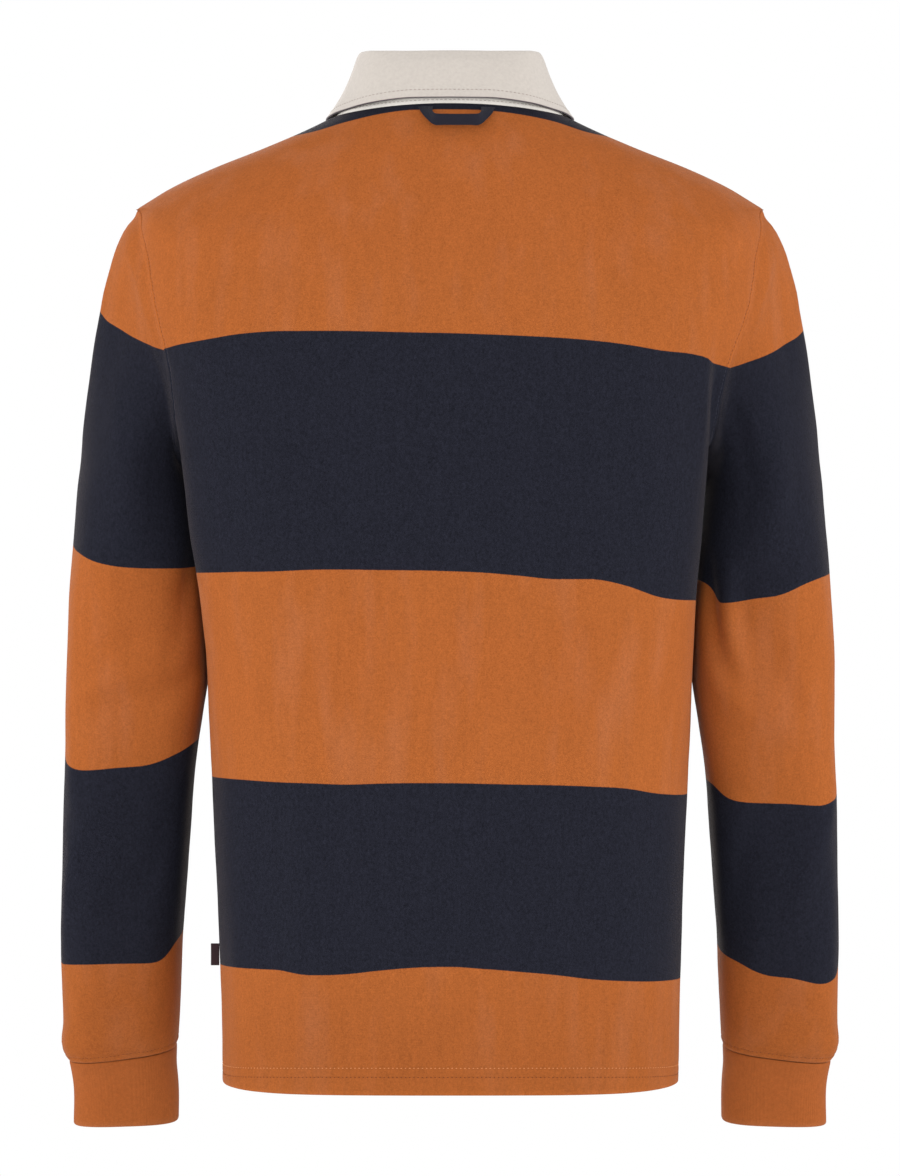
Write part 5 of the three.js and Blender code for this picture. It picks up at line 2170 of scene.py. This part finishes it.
class Dresser:
    """Gives each piece its finish and its body, and hides the solids that it replaces."""

    def __init__(self) -> None:
        """Makes each finish once."""
        self.finishes = {
            "jersey": Jersey().material("banded_jersey"),
            "rib": Rib().material("rust_rib"),
            "twill": Twill().material("cream_twill"),
            "tape": Herringbone(TAPE_NAVY).material("navy_tape"),
            "tab": Herringbone(BURGUNDY, 2.0).material("burgundy_tape"),
            "button_rubber": Rubber().material("button_rubber"),
            "banded_thread": BandedThread().material("banded_thread"),
            "cream_thread": PlainThread(CREAM_THREAD).material("cream_thread"),
            "light_thread": PlainThread(LIGHT_THREAD).material("light_thread"),
            "dark_thread": PlainThread(DARK_THREAD).material("dark_thread"),
            # The stand's lighter copy of the twill paints out the shade under the outer leaf
            "lit_stand_twill": Twill(LIT_STAND_CREAM).material("lit_stand_twill"),
        }

    def dress(self, piece: Piece, finish: str, slot: str, *nodes: str) -> Piece:
        """Finishes a piece and fixes it to the shirt.

        Args:
            piece: The piece.
            finish: The name of its finish.
            slot: Not used.
            nodes: The solids that it replaces.

        Returns:
            The piece.
        """
        piece.data.materials.clear()
        piece.data.materials.append(self.finishes[finish])
        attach(piece, "root")
        if nodes:
            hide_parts(*nodes)
        log.info("%s: %d faces, %s", piece.name, len(piece.data.polygons), finish)
        return piece

    def cloth(self, cloth: Cloth, node: str, slot: str, finish: str | None = None) -> Piece:
        """Builds a piece of cloth in place of its solid.

        Args:
            cloth: The cloth.
            node: The solid.
            slot: The record's material slot.
            finish: The name of its finish where it isn't the slot's.

        Returns:
            The piece.
        """
        piece = self.dress(cloth.build(f"{node}_cloth"), finish or slot, slot, node)
        return piece


class Shirt:
    """The whole shirt, sewn from its pieces."""

    def __init__(self, dresser: Dresser) -> None:
        """Cuts the pieces and turns their edges towards each other at the seams.

        Args:
            dresser: What finishes the pieces.
        """
        self.dresser = dresser
        self.back, self.front = Panel.cut(Face.BACK), Panel.cut(Face.FRONT)
        self._join_sides()
        self.sleeves = [Sleeve.cut(self.back, self.front, hand) for hand in Hand]
        for sleeve in self.sleeves:
            sleeve.sew(self.back)
            sleeve.sew(self.front)
        collar = Collar()
        self.stand, self.fall = collar.stand(), collar.fall()
        sew_neck((self.back, self.front), self.stand)
        for part in (self.back, self.front, *self.sleeves):
            part.finish()
        self.placket = Placket()
        self.strip = self.placket.cut()

    def build(self) -> None:
        """Builds and finishes every piece in order."""
        cloth = self.dresser.cloth
        cloth(self.back.cloth, "back_panel", "jersey")
        cloth(self.front.cloth, "front_panel", "jersey")
        for sleeve in self.sleeves:
            side = sleeve.hand.name.lower()
            cloth(sleeve.cloth, f"sleeve_{side}", "jersey")
            cloth(Cuff(sleeve.hand).cut(), f"cuff_{side}", "rib")
        cloth(self.stand, "collar_stand", "twill", "lit_stand_twill")
        cloth(self.fall, "collar_fall", "twill")
        cloth(self.strip, "placket", "twill")
        cloth(HangingLoop().cut(), "hanging_loop", "tape")
        cloth(SideTab().cut(), "side_tab", "tab")
        self._add_buttons()
        self._sew_jersey()
        self._sew_twill()

    def _join_sides(self) -> None:
        """Turns the side edges of the two panels towards each other."""
        reach = len(SEAM_COLUMNS)
        for hand in Hand:
            column = Panel.edge_column(hand)
            shared = unit(self.back.cloth.normals[:, column] + self.front.cloth.normals[:, column])
            columns = slice(-reach, None) if hand is Hand.LEFT else slice(0, reach)
            for panel in (self.back, self.front):
                distance = panel.side_distance[:, columns]
                panel.cloth.blend_edge(shared[:, None], distance, slice(None), columns)

    def _add_buttons(self) -> None:
        """Models one button and sews three copies on the placket."""
        dress = self.dresser.dress
        disc, thread = Button().model()
        for name, side in Placket.BUTTONS:
            normal = front_normal(side, 0.0)
            rest = panel_point(side, 0.0, Face.FRONT)
            rest = rest + normal * (self.placket.lift + TWILL_WALL + self.placket.button_lift)
            upright = Vector(normal).to_track_quat("Z", "Y").to_matrix().to_4x4()
            matrix = Matrix.Translation(Vector(rest * MILLIMETRE)) @ upright
            copy = place_copy(disc, f"button_{name}_disc", matrix)
            dress(copy, "button_rubber", "button_rubber", f"button_{name}")
            dress(place_copy(thread, f"button_{name}_thread", matrix), "cream_thread", "twill")
        for pattern in (disc, thread):
            bpy.data.objects.remove(pattern)

    def _sew_jersey(self) -> None:
        """Sews the hem, the armholes, the shoulders and the cuffs."""
        dress, sewing, close = self.dresser.dress, Sewing(), Sewing(1.5, 1.5)
        hems: dict[float, list[Run]] = {height: [] for height in HEM_STITCHES}
        holes = []
        for panel in (self.back, self.front):
            cloth, hole = panel.cloth, panel.armhole
            for height, runs in hems.items():
                runs.append(cloth.line(panel.hem_distance, height, 0))
            number = np.arange(cloth.points.shape[1])
            middle = len(number) // 2
            for hand in Hand:
                own = number >= middle if hand is Hand.LEFT else number <= middle
                distance = np.where(own[None, :], panel.side_distance, 1e6)
                last = hole.stop if panel.face is Face.FRONT else len(distance) - 4
                holes.append(cloth.line(distance, TOPSTITCH, 1, hole.start + 1, last))
        cuffs = [sleeve.cloth.line(sleeve.cuff_distance, CUFF_STITCH, 0) for sleeve in self.sleeves]
        for name, thread, runs in zip(("lower", "upper"), ("dark_thread", "light_thread"), hems.values()):
            dress(close.sew(f"hem_stitches_{name}", runs), thread, "jersey")
        dress(sewing.sew("armhole_stitches", holes), "banded_thread", "jersey")
        dress(close.sew("cuff_stitches", cuffs), "banded_thread", "jersey")

    def _sew_twill(self) -> None:
        """Sews the collar's outer leaf, its foot and the placket."""
        dress, sewing, fall, strip = self.dresser.dress, Sewing(), self.fall, self.strip
        edge = fall.line(Collar.lower_distance(fall.points), COLLAR_STITCH, 0)
        along = run_lengths(fall.points, 1)
        total = run_lengths(fall.points, 0)[-1].min()
        ends = [fall.line(distance, COLLAR_STITCH, 1) for distance in (along, along[:, -1:] - along)]
        foot = self.stand.line(run_lengths(self.stand.points, 0), FOOT_STITCH, 0)
        rows = [edge.part(COLLAR_STITCH, edge.along[-1] - COLLAR_STITCH)]
        rows += [end.part(8, min(total, end.along[-1] - COLLAR_STITCH)) for end in ends]
        rows.append(foot.part(3, foot.along[-1] - 3))
        dress(sewing.sew("collar_stitches", rows), "cream_thread", "twill")
        stitch = self.placket.stitch
        across, up = run_lengths(strip.points, 1), run_lengths(strip.points, 0)
        sides = [strip.line(distance, stitch, 1) for distance in (across, across[:, -1:] - across)]
        box = [strip.line(up, height, 0) for height in (stitch, BOX_STITCH)]
        rows = [side.part(2.4, side.along[-1] - 1) for side in sides]
        rows += [row.part(2.4, row.along[-1] - 2.4) for row in box]
        dress(sewing.sew("placket_stitches", rows), "cream_thread", "twill")


def main() -> None:
    """Builds the shirt in its studio."""
    logging.basicConfig(level=logging.INFO, format="%(message)s")
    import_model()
    Studio().build(PaleFloor())
    Shirt(Dresser()).build()


if __name__ == "__main__":
    main()
